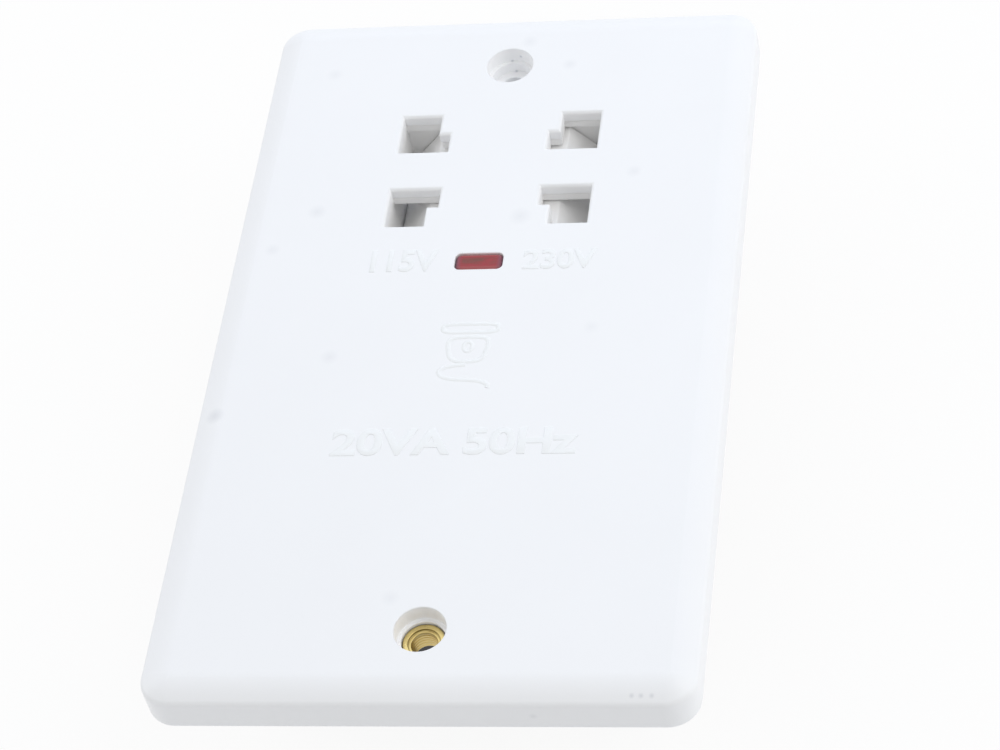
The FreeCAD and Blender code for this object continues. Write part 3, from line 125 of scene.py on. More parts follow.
class SocketColours(bpy.types.PropertyGroup):
    """Base colours of the finishes."""

    plate: colour("Plate", "White of the front plate", (0.925, 0.936, 0.953))
    # Painted light: a paler white for the plate inside its openings, standing in for light that passes
    # through the plastic and bounces into them
    wall: colour("Opening walls", "White of the plate inside its openings", (0.982, 0.985, 0.992))
    smudge: colour("Smudge", "Faint grey marks on the face", (0.62, 0.64, 0.68))
    inner: colour("Inner mouldings", "White of the guide, shutters and carrier", (0.985, 0.977, 0.967))
    lens: colour("Window", "Red of the lamp window", (0.34, 0.036, 0.042))
    brass: colour("Brass", "Bush, terminals and contacts", (0.78, 0.62, 0.26))
    bronze: colour("Bronze", "Shutter springs", (0.66, 0.40, 0.20))
    zinc: colour("Zinc", "Plated screws", (0.62, 0.63, 0.62))
    cover: colour("Cover", "Dark grey of the rear cover", (0.035, 0.036, 0.040))
    block: colour("Block", "White of the terminal block", (0.74, 0.75, 0.75))
    nylon: colour("Nylon", "Natural bobbin moulding", (0.66, 0.62, 0.50))
    copper: colour("Copper", "Enamelled winding wire", (0.52, 0.20, 0.08))
    tape: colour("Tape", "Polyester winding tape", (0.72, 0.50, 0.06))
    steel: colour("Laminations", "Varnished core steel", (0.16, 0.16, 0.17))
    case: colour("Cut-out", "Black case of the thermal cut-out", (0.03, 0.03, 0.033))


class SocketStage(bpy.types.PropertyGroup):
    """Camera, light and floor."""

    camera_place: bpy.props.FloatVectorProperty(
        name="Camera place", description="Where the camera stands", default=(0.1070, -0.3261, 0.3870),
        subtype="TRANSLATION", unit="LENGTH", precision=4)
    camera_turn: bpy.props.FloatVectorProperty(
        name="Camera turn", description="How the camera is turned", default=(0.698646, 0.139689, 0.096346),
        subtype="EULER", precision=5)
    focal: bpy.props.FloatProperty(name="Lens", description="Focal length in millimetres", default=112.45)
    shift: bpy.props.FloatProperty(name="Shift", description="Sideways shift of the frame", default=-0.1)
    ambient: bpy.props.FloatProperty(name="Ambient", description="Light from all round", default=0.605)
    key: power("Key", "Power of the panel overhead", 1.72)
    side: power("Side", "Power of the panel at the right", 2.8)
    fill: power("Fill", "Power of the panel at the left", 1.9)
    floor_white: bpy.props.FloatProperty(
        name="White floor", description="Share of the floor that shows as white ground", default=0.92,
        subtype="FACTOR")


def chosen(context):
    """The colours and sizes that the panel shows."""
    return context.scene.socket_colours, context.scene.socket_sizes


class Nodes:
    """A node tree, with short calls that add and join its nodes."""

    def __init__(self, tree):
        self.tree = tree
        self.tree.nodes.clear()

    def add(self, kind, inputs, **settings):
        """A node with its settings; an input is a value or another node's output."""
        made = self.tree.nodes.new(kind)
        for name, setting in settings.items():
            setattr(made, name, setting)
        for name, given in inputs.items():
            self.feed(made.inputs[name], given)
        return made

    def feed(self, socket, given):
        """Joins an output to an input, or sets the input's own value."""
        if isinstance(given, bpy.types.NodeSocket):
            self.tree.links.new(given, socket)
        else:
            socket.default_value = given

    def remap(self, source, low, high, start=0.0, end=1.0):
        """A value carried from one range to another."""
        return self.add("ShaderNodeMapRange", {"Value": source, "From Min": start, "From Max": end,
                                               "To Min": low, "To Max": high}).outputs["Result"]

    def math(self, operation, first, second=0.0):
        """One value, or two values put together."""
        return self.add("ShaderNodeMath", {0: first, 1: second}, operation=operation).outputs["Value"]

    def seen(self):
        """1 for what the camera sees, straight or by way of mirrors and glass, and 0 for other rays."""
        ray = self.add("ShaderNodeLightPath", {}).outputs
        clear = self.math("MAXIMUM", ray["Is Glossy Ray"], ray["Is Transmission Ray"])
        return self.math("MAXIMUM", ray["Is Camera Ray"], clear)


class Finish(Nodes):
    """A material: its shader and output, and the patterns that feed them."""

    def __init__(self, name):
        self.material = bpy.data.materials.new(name)
        self.material.use_nodes = True
        super().__init__(self.material.node_tree)
        self.shader = self.add("ShaderNodeBsdfPrincipled", {})
        self.output = self.add("ShaderNodeOutputMaterial", {"Surface": self.shader.outputs["BSDF"]})
        self.place = self.add("ShaderNodeTexCoord", {}).outputs["Object"]

    def set(self, **inputs):
        """Inputs of the shader, with underscores for spaces."""
        for name, given in inputs.items():
            self.feed(self.shader.inputs[name.replace("_", " ")], given)

    def axes(self):
        """The place on the piece, split into X, Y and Z."""
        return self.add("ShaderNodeSeparateXYZ", {"Vector": self.place}).outputs

    def distance(self, first, second):
        """How far two places lie apart."""
        return self.add("ShaderNodeVectorMath", {0: first, 1: second}, operation="DISTANCE").outputs["Value"]

    def noise(self, scale, detail=2.0, stretch=(1.0, 1.0, 1.0)):
        """A cloudy value from 0 to 1, stretched along the axes."""
        place = self.add("ShaderNodeMapping", {"Vector": self.place, "Scale": stretch}).outputs["Vector"]
        made = self.add("ShaderNodeTexNoise", {"Vector": place, "Scale": scale, "Detail": detail})
        return made.outputs["Fac"]

    def bands(self, axis, pitch):
        """A wave from 0 to 1 along an axis, one ripple for each pitch."""
        scale = 2.0 * math.pi / (20.0 * pitch)
        return self.add("ShaderNodeTexWave", {"Vector": self.place, "Scale": scale, "Distortion": 0.0},
                        wave_type="BANDS", bands_direction=axis, wave_profile="SIN").outputs["Fac"]

    def blend(self, factor, first, second):
        """A colour between two colours."""
        made = self.add("ShaderNodeMix", {}, data_type="RGBA")
        self.feed(made.inputs["Factor"], factor)
        self.feed(made.inputs["A"], first)
        self.feed(made.inputs["B"], second)
        return made.outputs["Result"]

    def bump(self, height, distance, strength=1.0):
        """Small relief from a height value."""
        made = self.add("ShaderNodeBump", {"Height": height, "Strength": strength, "Distance": distance})
        self.set(Normal=made.outputs["Normal"])


def rgba(given, gain=1.0):
    """A colour with full cover, made lighter or darker."""
    return tuple(min(1.0, channel * gain) for channel in given) + (1.0,)


def moulded(name, tone, roughness=0.45, grain=1600.0):
    """Moulded plastic: slight clouds of tone and gloss, and a fine grain."""
    look = Finish(name)
    cloud = look.noise(70.0)
    look.set(Base_Color=look.blend(cloud, rgba(tone, 0.965), rgba(tone, 1.02)),
             Roughness=look.remap(cloud, roughness - 0.06, roughness + 0.06))
    look.bump(look.noise(grain), 0.02 * MM, 0.25)
    return look.material


# Marks on the plate: x, y, z and radius in millimetres, and strength
SMUDGES = (
    # Faint smudges on the face
    (2.9, 66.0, 7.5, 1.7, 0.20), (10.7, 60.1, 7.5, 1.5, 0.20), (24.4, 33.9, 7.5, 1.5, 0.20),
    (5.9, 24.2, 7.5, 2.2, 0.22), (-29.6, 26.3, 7.5, 1.8, 0.24), (-36.1, 17.8, 7.5, 1.5, 0.18),
    (-22.5, -6.1, 7.5, 1.7, 0.20), (-39.9, -18.0, 7.5, 1.8, 0.44), (20.5, -0.6, 7.5, 1.5, 0.14),
    (-5.4, -54.5, 7.5, 1.7, 0.16), (-31.5, 59.3, 7.5, 1.6, 0.16),
    # Three dots on the lower border, and a spot on the skirt under it
    *((x, -71.7, 6.6, 0.5, 0.6) for x in (33.4, 34.8, 36.4)), (18.2, -73.0, 3.0, 0.8, 0.3),
    # Specks in the upper well
    (1.2, 64.2, 5.7, 0.4, 1.0), (-0.5, 64.3, 4.6, 0.4, 0.9), (0.0, 63.7, 2.6, 0.4, 1.0),
)


def plate_finish(name, tone, wall, smudge):
    """The plate's glossy white, with painted light on the walls of its openings (a paler white there), and a
    few faint grey smudges.
    """
    look = Finish(name)
    cloud = look.noise(45.0)
    white = look.blend(cloud, rgba(tone, 0.985), rgba(tone, 1.01))
    # Painted light: the walls, which lie below the face inside a rectangle that holds all the openings, get a
    # paler white
    split = look.axes()
    within = look.remap(look.math("ABSOLUTE", split["X"]), 1.0, 0.0, 24.0 * MM, 30.0 * MM)
    before = look.remap(look.math("ABSOLUTE", split["Y"]), 1.0, 0.0, 66.0 * MM, 68.0 * MM)
    below = look.remap(split["Z"], 1.0, 0.0, FACE - 0.5 * MM, FACE - 0.1 * MM)
    walls_painted_paler = look.math("MULTIPLY", look.math("MULTIPLY", within, before), below)
    # The paler painted-light white goes on the walls
    white = look.blend(walls_painted_paler, white, rgba(wall))
    marks = 0.0
    for x, y, z, radius, strength in SMUDGES:
        away = look.distance(look.place, (x * MM, y * MM, z * MM))
        marks = look.math("MAXIMUM", marks, look.remap(away, strength, 0.0, 0.0, radius * MM))
    look.set(Base_Color=look.blend(marks, white, rgba(smudge)),
             Roughness=look.remap(look.noise(300.0), 0.34, 0.44))
    look.bump(look.noise(2200.0), 0.02 * MM, 0.18)
    return look.material


def metal(name, tone, roughness=0.3, stretch=(1.0, 1.0, 1.0)):
    """Bare metal: brushed clouds of tone and gloss, with fine scratches along one way."""
    look = Finish(name)
    cloud = look.noise(260.0, 4.0, stretch)
    look.set(Base_Color=look.blend(cloud, rgba(tone, 0.82), rgba(tone, 1.08)), Metallic=1.0,
             Roughness=look.remap(cloud, roughness - 0.08, roughness + 0.12))
    look.bump(look.noise(1500.0, 2.0, stretch), 0.01 * MM, 0.3)
    return look.material


def bush_finish(name, tone):
    """Turned brass with painted shade: dark brown painted at the flange's rim, in the corner of the step and
    just under the bore's mouth.
    """
    look = Finish(name)
    low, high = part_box("earth_bush")
    radius = (high.x - low.x) / 2.0
    step, bore = radius - 0.85 * MM, radius - 1.2 * MM
    # Painted shade: a dark brown standing for the shadowed gap at the flange's rim, the corner of the step
    # and the band under the bore's mouth
    painted_shade = (0.10, 0.075, 0.03, 1.0)
    cloud = look.noise(420.0, 4.0)
    bright = look.blend(cloud, rgba(tone, 0.75), rgba(tone, 1.16))
    split = look.axes()
    axis = ((low.x + high.x) / 2.0, (low.y + high.y) / 2.0, 0.0)
    flat = look.add("ShaderNodeCombineXYZ", {"X": split["X"], "Y": split["Y"]}).outputs["Vector"]
    out = look.distance(flat, axis)
    rim = look.remap(out, 0.0, 0.6, radius - 0.4 * MM, radius)
    from_step = look.math("ABSOLUTE", look.math("SUBTRACT", out, step))
    corner = look.remap(from_step, 0.5, 0.0, 0.0, 0.2 * MM)
    within = look.remap(out, 0.5, 0.0, bore - 0.04 * MM, bore + 0.04 * MM)
    near_mouth = look.remap(split["Z"], 0.0, 1.0, high.z - 1.4 * MM, high.z - 0.6 * MM)
    mouth = look.math("MULTIPLY", within, near_mouth)
    # Where the painted shade goes
    shade_mask = look.math("MAXIMUM", look.math("MAXIMUM", rim, corner), mouth)
    look.set(Base_Color=look.blend(shade_mask, bright, painted_shade), Metallic=1.0,
             Roughness=look.remap(cloud, 0.22, 0.42))
    look.bump(look.bands("Z", 0.6 * MM), 0.12 * MM, 0.8)
    return look.material


def banded(name, tone, axis, pitch, metallic, roughness, depth):
    """Layers seen on edge, such as laminations, wound wire or threads: dark lines at each pitch."""
    look = Finish(name)
    ripple = look.bands(axis, pitch)
    cloud = look.noise(90.0)
    layered = look.blend(ripple, rgba(tone, 0.55), rgba(tone, 1.1))
    look.set(Base_Color=look.blend(look.remap(cloud, 0.0, 0.35), layered, rgba(tone, 0.8)),
             Metallic=metallic, Roughness=look.remap(cloud, roughness - 0.05, roughness + 0.1))
    look.bump(ripple, depth)
    return look.material


def lens_finish(name, tone):
    """Clear red plastic: dim mottling in the middle, a paler rim painted as a glow of light along the upper
    and lower edges, and greyer ends.
    """
    look = Finish(name)
    dim, pale, grey = (0.17, 0.062, 0.044, 1.0), (0.46, 0.17, 0.17, 1.0), (0.17, 0.09, 0.125, 1.0)
    mottle = look.remap(look.noise(560.0, 2.0, (0.7, 1.0, 1.0)), 0.0, 1.0, 0.36, 0.62)
    low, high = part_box("neon_lens")
    middle_y = (low.y + high.y) / 2.0
    split = look.axes()
    aside = look.math("ABSOLUTE", split["X"])
    above = look.math("ABSOLUTE", look.math("SUBTRACT", split["Y"], middle_y))
    middle = look.remap(above, 0.85, 0.0, 0.5 * MM, 1.1 * MM)
    core = look.math("MULTIPLY", middle, look.remap(aside, 1.0, 0.0, 2.6 * MM, 3.2 * MM))
    red = look.blend(look.math("MULTIPLY", core, mottle), rgba(tone), dim)
    # Painted light: a pale pink glow along the window's upper and lower edges
    rim = look.blend(look.remap(above, 0.0, 0.6, 1.0 * MM, 1.4 * MM), red, pale)
    ends = look.blend(look.remap(aside, 0.0, 0.85, 2.9 * MM, 3.9 * MM), rim, grey)
    look.set(Base_Color=ends, Roughness=look.remap(mottle, 0.2, 0.3), Specular_IOR_Level=0.3)
    look.bump(look.noise(900.0), 0.02 * MM, 0.2)
    return look.material


def glass_finish(name):
    """Thin clear glass with faint unevenness."""
    look = Finish(name)
    look.set(Base_Color=(0.95, 0.95, 0.93, 1.0), Transmission_Weight=0.85, IOR=1.5,
             Roughness=look.remap(look.noise(400.0), 0.02, 0.08))
    return look.material


def resistor_finish(name):
    """A lacquered barrel with four colour bands along its length."""
    look = Finish(name)
    half = 3.2 * MM
    along = look.remap(look.axes()["X"], 0.0, 1.0, -half, half)
    ramp = look.add("ShaderNodeValToRGB", {"Fac": along})
    ramp.color_ramp.interpolation = "CONSTANT"
    body = (0.46, 0.34, 0.20, 1.0)
    brown, black = (0.22, 0.06, 0.02, 1.0), (0.02, 0.02, 0.02, 1.0)
    yellow, gold = (0.62, 0.42, 0.02, 1.0), (0.55, 0.40, 0.12, 1.0)
    rings = ((0.16, brown), (0.24, body), (0.34, black), (0.42, body),
             (0.52, yellow), (0.60, body), (0.76, gold), (0.84, body))
    ramp.color_ramp.elements[0].color = body
    ramp.color_ramp.elements[1].position = rings[0][0]
    ramp.color_ramp.elements[1].color = rings[0][1]
    for position, tone in rings[1:]:
        ramp.color_ramp.elements.new(position).color = tone
    look.set(Base_Color=ramp.outputs["Color"], Roughness=look.remap(look.noise(500.0), 0.3, 0.42))
    return look.material


def dress(piece, body, material):
    """Gives a piece its material and slot, and carries it on a body."""
    piece.data.materials.clear()
    piece.data.materials.append(material)
    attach(piece, body)
    return piece


@contextlib.contextmanager
def editing(mesh):
    """Opens a mesh for edits and writes them back."""
    shape = bmesh.new()
    shape.from_mesh(mesh)
    yield shape
    shape.to_mesh(mesh)
    shape.free()


def placed(name, mesh, crease=EDGE_ANGLE):
    """Puts a mesh into the scene as a piece, shaded smooth but for edges sharper than the crease."""
    mesh.polygons.foreach_set("use_smooth", np.ones(len(mesh.polygons), bool))
    mesh.set_sharp_from_angle(angle=crease)
    piece = bpy.data.objects.new(name, mesh)
    bpy.context.scene.collection.objects.link(piece)
    return piece


def rounded(piece, label, width, segments, **limits):
    """Rounds those edges of a piece that are inside the limits, by a bevel."""
    bevel = piece.modifiers.new(label, "BEVEL")
    bevel.width = width
    bevel.segments = segments
    bevel.loop_slide = False
    for name, setting in limits.items():
        setattr(bevel, name, setting)


def softened(node, width, body, material, segments=2, at_rim=None, rim_width=0.0):
    """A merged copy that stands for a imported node: flat areas joined, sharp edges rounded by a bevel.

    Where there is a test for rims, the edges that pass it get the rim's broader rounding first."""
    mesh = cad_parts[node].data.copy()
    with editing(mesh) as shape:
        bmesh.ops.remove_doubles(shape, verts=shape.verts, dist=0.002 * MM)
        bmesh.ops.dissolve_limit(shape, angle_limit=math.radians(0.3), verts=shape.verts, edges=shape.edges)
        if at_rim:
            weight = shape.edges.layers.float.new("bevel_weight_edge")
            for edge in shape.edges:
                edge[weight] = float(edge.calc_face_angle() > EDGE_ANGLE and at_rim(edge))
    piece = placed(f"{node}_finish", mesh, CREASE_ANGLE)
    if at_rim:
        rounded(piece, "rounded rims", rim_width, 6, limit_method="WEIGHT", use_clamp_overlap=False)
    rounded(piece, "rounded edges", width, segments, limit_method="ANGLE", angle_limit=EDGE_ANGLE)
    even = piece.modifiers.new("even shading", "WEIGHTED_NORMAL")
    even.weight = 100
    even.keep_sharp = True
    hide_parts(node)
    return dress(piece, body, material)


def grid_faces(rows, columns, close_rows, close_columns):
    """Quads over a grid of points, wrapped round in a closed direction."""
    r = np.arange(rows if close_rows else rows - 1)
    c = np.arange(columns if close_columns else columns - 1)
    r, c = np.meshgrid(r, c, indexing="ij")
    after_r, after_c = (r + 1) % rows, (c + 1) % columns
    corners = (r * columns + c, r * columns + after_c, after_r * columns + after_c, after_r * columns + c)
    return np.stack(corners, -1).reshape(-1, 4)


def surface(name, points, close_rows=False, close_columns=False, ends=False):
    """A mesh piece over a grid of points: rows run along the piece, columns round its profile."""
    rows, columns = points.shape[:2]
    faces = grid_faces(rows, columns, close_rows, close_columns).tolist()
    if ends:
        faces.append(list(range(columns))[::-1])
        faces.append(list(range((rows - 1) * columns, rows * columns)))
    mesh = bpy.data.meshes.new(name)
    mesh.from_pydata(points.reshape(-1, 3).tolist(), [], faces)
    with editing(mesh) as shape:
        bmesh.ops.recalc_face_normals(shape, faces=shape.faces)
    return placed(name, mesh)


def turned(name, centre, profile, steps=96):
    """A closed profile turned about an upright axis: x, y = radius * (cos, sin) of the turn, z = height."""
    radii, heights = np.array(profile).T
    turn = np.linspace(0.0, 2.0 * math.pi, steps, endpoint=False)[:, None]
    x = centre[0] + np.cos(turn) * radii
    y = centre[1] + np.sin(turn) * radii
    z = np.broadcast_to(heights, x.shape)
    return surface(name, np.stack([x, y, z], -1), close_rows=True, close_columns=True)


def superellipse(centre, half, power, steps=160, taper=0.0):
    """A closed loop where |x / a| ** n + |y / b| ** n = 1, narrowed towards its foot by a taper."""
    turn = np.linspace(0.0, 2.0 * math.pi, steps, endpoint=False)
    x = np.sign(np.cos(turn)) * np.abs(np.cos(turn)) ** (2.0 / power)
    y = np.sign(np.sin(turn)) * np.abs(np.sin(turn)) ** (2.0 / power)
    x = x * (1.0 + taper * y)
    return np.stack([centre[0] + half[0] * x, centre[1] + half[1] * y], -1)


def lead_line(steps=120):
    """The shaver's lead: x = a * cos(t) as y falls by k * (t + 0.35 * sin(2 t)), which rounds its bend."""
    t = np.linspace(0.5 * math.pi, 2.04 * math.pi, steps)
    x = GLYPH_X + 4.2 * MM * np.cos(t)
    fall = t + 0.35 * np.sin(2.0 * t)
    y = -8.2 * MM - 4.9 * MM * (fall - fall[0]) / (fall[-1] - fall[0])
    return np.stack([x, y], -1)


def ridge(name, loop, width, height, closed=True):
    """A raised line on the face: a low arch, height * (1 - t * t) for t from -1 to 1, along a line."""
    along = np.roll(loop, -1, 0) - np.roll(loop, 1, 0) if closed else np.gradient(loop, axis=0)
    along /= np.linalg.norm(along, axis=1, keepdims=True)
    across = np.stack([-along[:, 1], along[:, 0]], -1)
    t = np.linspace(-1.0, 1.0, 9)
    offsets = np.concatenate([t, [1.0, -1.0]]) * width / 2.0
    heights = np.concatenate([height * (1.0 - t * t), [-RELIEF_ROOT, -RELIEF_ROOT]])
    flat = loop[:, None, :] + across[:, None, :] * offsets[None, :, None]
    z = np.broadcast_to(FACE + heights, flat.shape[:2])
    points = np.concatenate([flat, z[..., None]], -1)
    return surface(name, points, close_rows=closed, close_columns=True, ends=not closed)


def raised_text(name, words, low, high, height):
    """Raised letters on the face, fitted to a rectangle: the font's outline, thickened and bevelled."""
    bevel = 0.08 * MM
    outline = bpy.data.curves.new(name, "FONT")
    outline.body = words
    outline.size = 6.5 * MM
    outline.offset = 0.12 * MM
    outline.extrude = (RELIEF_ROOT + height) / 2.0 - bevel
    outline.bevel_depth = bevel
    outline.bevel_resolution = 1
    outline.resolution_u = 6
    holder = bpy.data.objects.new(name, outline)
    bpy.context.scene.collection.objects.link(holder)
    bpy.context.view_layer.update()
    mesh = bpy.data.meshes.new_from_object(holder.evaluated_get(bpy.context.evaluated_depsgraph_get()))
    bpy.data.objects.remove(holder)
    points = np.empty(len(mesh.vertices) * 3)
    mesh.vertices.foreach_get("co", points)
    points = points.reshape(-1, 3)
    lowest, highest = points.min(0), points.max(0)
    share = (points - lowest) / (highest - lowest)
    foot, top = np.array([*low, FACE - RELIEF_ROOT]), np.array([*high, FACE + height])
    mesh.vertices.foreach_set("co", (foot + share * (top - foot)).ravel())
    with editing(mesh) as shape:
        bmesh.ops.remove_doubles(shape, verts=shape.verts, dist=0.004 * MM)
    return placed(name, mesh, CREASE_ANGLE)


def folded_spring(name, node, strip):
    """A strip folded to and fro: y = a * asin(k * sin(phase)) along x, thickened along its own normal."""
    low, high = (np.array(corner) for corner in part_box(node))
    legs, pointed = 5.0, 0.985
    along = np.linspace(0.0, 1.0, 301)
    phase = math.pi * legs * along + math.pi / 2.0
    swing = np.arcsin(pointed * np.sin(phase)) / math.asin(pointed)
    x = low[0] + strip / 2.0 + along * (high[0] - low[0] - strip)
    y = (low[1] + high[1]) / 2.0 + swing * ((high[1] - low[1]) / 2.0 - strip / 2.0)
    run = np.stack([np.gradient(x), np.gradient(y)], -1)
    run /= np.linalg.norm(run, axis=1, keepdims=True)
    normal = np.stack([-run[:, 1], run[:, 0]], -1) * strip / 2.0
    line = np.stack([x, y], -1)
    sides = np.stack([line + normal, line - normal, line - normal, line + normal], 1)
    z = np.broadcast_to(np.array([low[2], low[2], high[2], high[2]]), sides.shape[:2])
    return surface(name, np.concatenate([sides, z[..., None]], -1), close_columns=True, ends=True)


class SOCKET_OT_plate(bpy.types.Operator):
    """The front plate, with the edges of its holes rounded and its white finish"""

    bl_idname = "socket.plate"
    bl_label = "Front plate"

    def execute(self, context):
        tones, sizes = chosen(context)
        white = plate_finish("plate_white", tones.plate, tones.wall, tones.smudge)
        softened("front_plate", sizes.plate_edge, HOUSING, white,
                 at_rim=self.round_opening, rim_width=sizes.plate_rim)
        dress(self.well_ring(sizes), HOUSING, white)
        return {"FINISHED"}

    def round_opening(self, edge):
        """Whether an edge lies in the face, at one of the pin openings over the shutters."""
        low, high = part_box("shutter_115v")
        return all(abs(v.co.z - FACE) < 0.01 * MM and low.y < v.co.y < high.y for v in edge.verts)

    def well_ring(self, sizes):
        """The ring in the upper well, with its ledge and its seat: a stepped profile, sunk into the plate."""
        sunk, edge = 0.1 * MM, 0.11 * MM
        outer, step, inner = sizes.well_bore / 2.0 + sunk, sizes.shelf_bore / 2.0, sizes.seat_bore / 2.0
        foot, seat, top = sizes.well_floor - sunk, sizes.seat_height, sizes.shelf_height

        def corner(radius, height):
            """A rounded corner of the profile, in three points."""
            cut = 0.3 * edge
            return (radius + edge, height), (radius + cut, height - cut), (radius, height - edge)

        profile = [(outer, foot), (outer, top), *corner(step, top), (step, seat), *corner(inner, seat),
                   (inner, foot)]
        return turned("upper_cap_ledge", (0.0, FIXING_Y), profile)


class SOCKET_OT_relief(bpy.types.Operator):
    """Raised marks on the face: the two voltages, a rating and a plain outline of a shaver"""

    bl_idname = "socket.relief"
    bl_label = "Relief marks"

    def execute(self, context):
        sizes = context.scene.socket_sizes
        white = bpy.data.materials["plate_white"]
        height, stroke = sizes.relief_height, sizes.relief_stroke
        head = superellipse((GLYPH_X, -0.4 * MM), (4.6 * MM, 0.9 * MM), 4.0)
        case = superellipse((GLYPH_X, -4.9 * MM), (3.2 * MM, 2.6 * MM), 3.6, taper=0.14)
        switch = superellipse((GLYPH_X, -4.4 * MM), (0.7 * MM, 1.0 * MM), 2.4, 80)
        rating_low, rating_high = (-19.4 * MM, -26.8 * MM), (20.7 * MM, -21.3 * MM)
        marks = [
            raised_text("relief_115v", "115V", (-18.5 * MM, 12.2 * MM), (-7.0 * MM, 17.0 * MM), height),
            raised_text("relief_230v", "230V", (7.5 * MM, 12.2 * MM), (19.9 * MM, 16.6 * MM), height),
            raised_text("relief_rating", "20VA 50Hz", rating_low, rating_high, height),
            ridge("relief_head", head, stroke, height),
            ridge("relief_case", case, stroke, height),
            ridge("relief_switch", switch, stroke * 0.8, height),
            ridge("relief_lead", lead_line(), stroke, height, closed=False),
        ]
        for mark in marks:
            dress(mark, HOUSING, white)
        return {"FINISHED"}


class SOCKET_OT_window(bpy.types.Operator):
    """The red lamp window, the lamp behind it and its resistor"""

    bl_idname = "socket.window"
    bl_label = "Lamp window"

    def execute(self, context):
        tones, sizes = chosen(context)
        softened("neon_lens", sizes.lens_edge, HOUSING, lens_finish("lens_red", tones.lens), 3)
        softened("neon_lamp", sizes.moulded_edge, HOUSING, glass_finish("lamp_glass"))
        lacquer = resistor_finish("resistor_bands")
        softened("neon_resistor", sizes.moulded_edge, HOUSING, lacquer)
        return {"FINISHED"}


class SOCKET_OT_shutters(bpy.types.Operator):
    """The guide plate, the carrier and the two sliding shutters"""

    bl_idname = "socket.shutters"
    bl_label = "Shutters"

    def execute(self, context):
        tones, sizes = chosen(context)
        inner = moulded("inner_white", tones.inner)
        for node in ("shutter_guide", "contact_carrier"):
            softened(node, sizes.moulded_edge, HOUSING, inner)
        sliding = moulded("shutter_white", tones.inner, 0.38)
        for volts in OUTLETS:
            softened(f"shutter_{volts}", sizes.moulded_edge, f"shutter_{volts}", sliding)
        return {"FINISHED"}


class SOCKET_OT_springs(bpy.types.Operator):
    """The folded strip springs, built in one fixed shape and carried on the housing; the real ones close up
    as the shutters open
    """

    bl_idname = "socket.springs"
    bl_label = "Shutter springs"

    def execute(self, context):
        tones, sizes = chosen(context)
        bronze = metal("spring_bronze", tones.bronze, 0.28, (1.0, 1.0, 0.1))
        for volts, side in OUTLETS.items():
            node = f"shutter_spring_{volts}"
            spring = folded_spring(f"{node}_finish", node, sizes.spring_strip)
            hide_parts(node)
            dress(spring, HOUSING, bronze)
            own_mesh(spring)
        return {"FINISHED"}


class SOCKET_OT_contacts(bpy.types.Operator):
    """The brass contacts and the earth strap"""

    bl_idname = "socket.contacts"
    bl_label = "Contacts"

    def execute(self, context):
        tones, sizes = chosen(context)
        strip = metal("contact_brass", tones.brass, 0.26, (0.15, 1.0, 1.0))
        for node in ("contact_115v", "contact_230v", "common_contact", "earth_strap"):
            softened(node, sizes.metal_edge, HOUSING, strip)
        return {"FINISHED"}


class SOCKET_OT_terminals(bpy.types.Operator):
    """The brass terminals and the earth bush in the lower well"""

    bl_idname = "socket.terminals"
    bl_label = "Terminals and bush"

    def execute(self, context):
        tones, sizes = chosen(context)
        machined = metal("terminal_brass", tones.brass, 0.34, (1.0, 0.2, 1.0))
        for node in ("live_terminal", "neutral_terminal", "earth_terminal"):
            softened(node, sizes.metal_edge, HOUSING, machined)
        # Brass with painted shade in its gap, its step and under the bore's mouth
        shaded_brass = bush_finish("bush_brass", tones.brass)
        softened("earth_bush", sizes.metal_edge, HOUSING, shaded_brass)
        return {"FINISHED"}


class SOCKET_OT_screws(bpy.types.Operator):
    """The cover, block and clamp screws"""

    bl_idname = "socket.screws"
    bl_label = "Screws"

    def execute(self, context):
        tones, sizes = chosen(context)
        plated = metal("screw_zinc", tones.zinc, 0.32)
        threaded = banded("screw_thread", tones.zinc, "Z", 0.5 * MM, 1.0, 0.34, 0.12 * MM)
        for node in ("cover_screws", "block_screws"):
            softened(node, sizes.metal_edge, HOUSING, plated)
        softened("clamp_screws", sizes.metal_edge, HOUSING, threaded)
        return {"FINISHED"}


class SOCKET_OT_transformer(bpy.types.Operator):
    """The laminations, bobbin, windings, tape and thermal cut-out"""

    bl_idname = "socket.transformer"
    bl_label = "Transformer"

    def execute(self, context):
        tones, sizes = chosen(context)
        layers = banded("core_laminations", tones.steel, "Z", 0.5 * MM, 0.6, 0.5, 0.05 * MM)
        for node in ("core_e_stack", "core_i_stack"):
            softened(node, sizes.metal_edge, HOUSING, layers)
        nylon = moulded("bobbin_nylon", tones.nylon, 0.5)
        softened("bobbin", sizes.moulded_edge, HOUSING, nylon)
        wire = banded("winding_copper", tones.copper, "Y", sizes.wire_pitch, 0.8, 0.36, 0.02 * MM)
        tape = moulded("winding_tape", tones.tape, 0.3)
        for coil in ("primary", "secondary"):
            softened(f"{coil}_winding", sizes.metal_edge, HOUSING, wire)
            softened(f"{coil}_tape", sizes.moulded_edge, HOUSING, tape)
        case = moulded("cutout_case", tones.case, 0.4)
        softened("thermal_cutout", sizes.moulded_edge, HOUSING, case)
        return {"FINISHED"}


class SOCKET_OT_back(bpy.types.Operator):
    """The rear cover and the terminal block"""

    bl_idname = "socket.back"
    bl_label = "Rear cover"

    def execute(self, context):
        tones, sizes = chosen(context)
        grey = moulded("cover_grey", tones.cover, 0.5, 1200.0)
        softened("rear_cover", sizes.moulded_edge, HOUSING, grey)
        white = moulded("block_white", tones.block, 0.42)
        softened("terminal_block", sizes.moulded_edge, HOUSING, white)
        return {"FINISHED"}


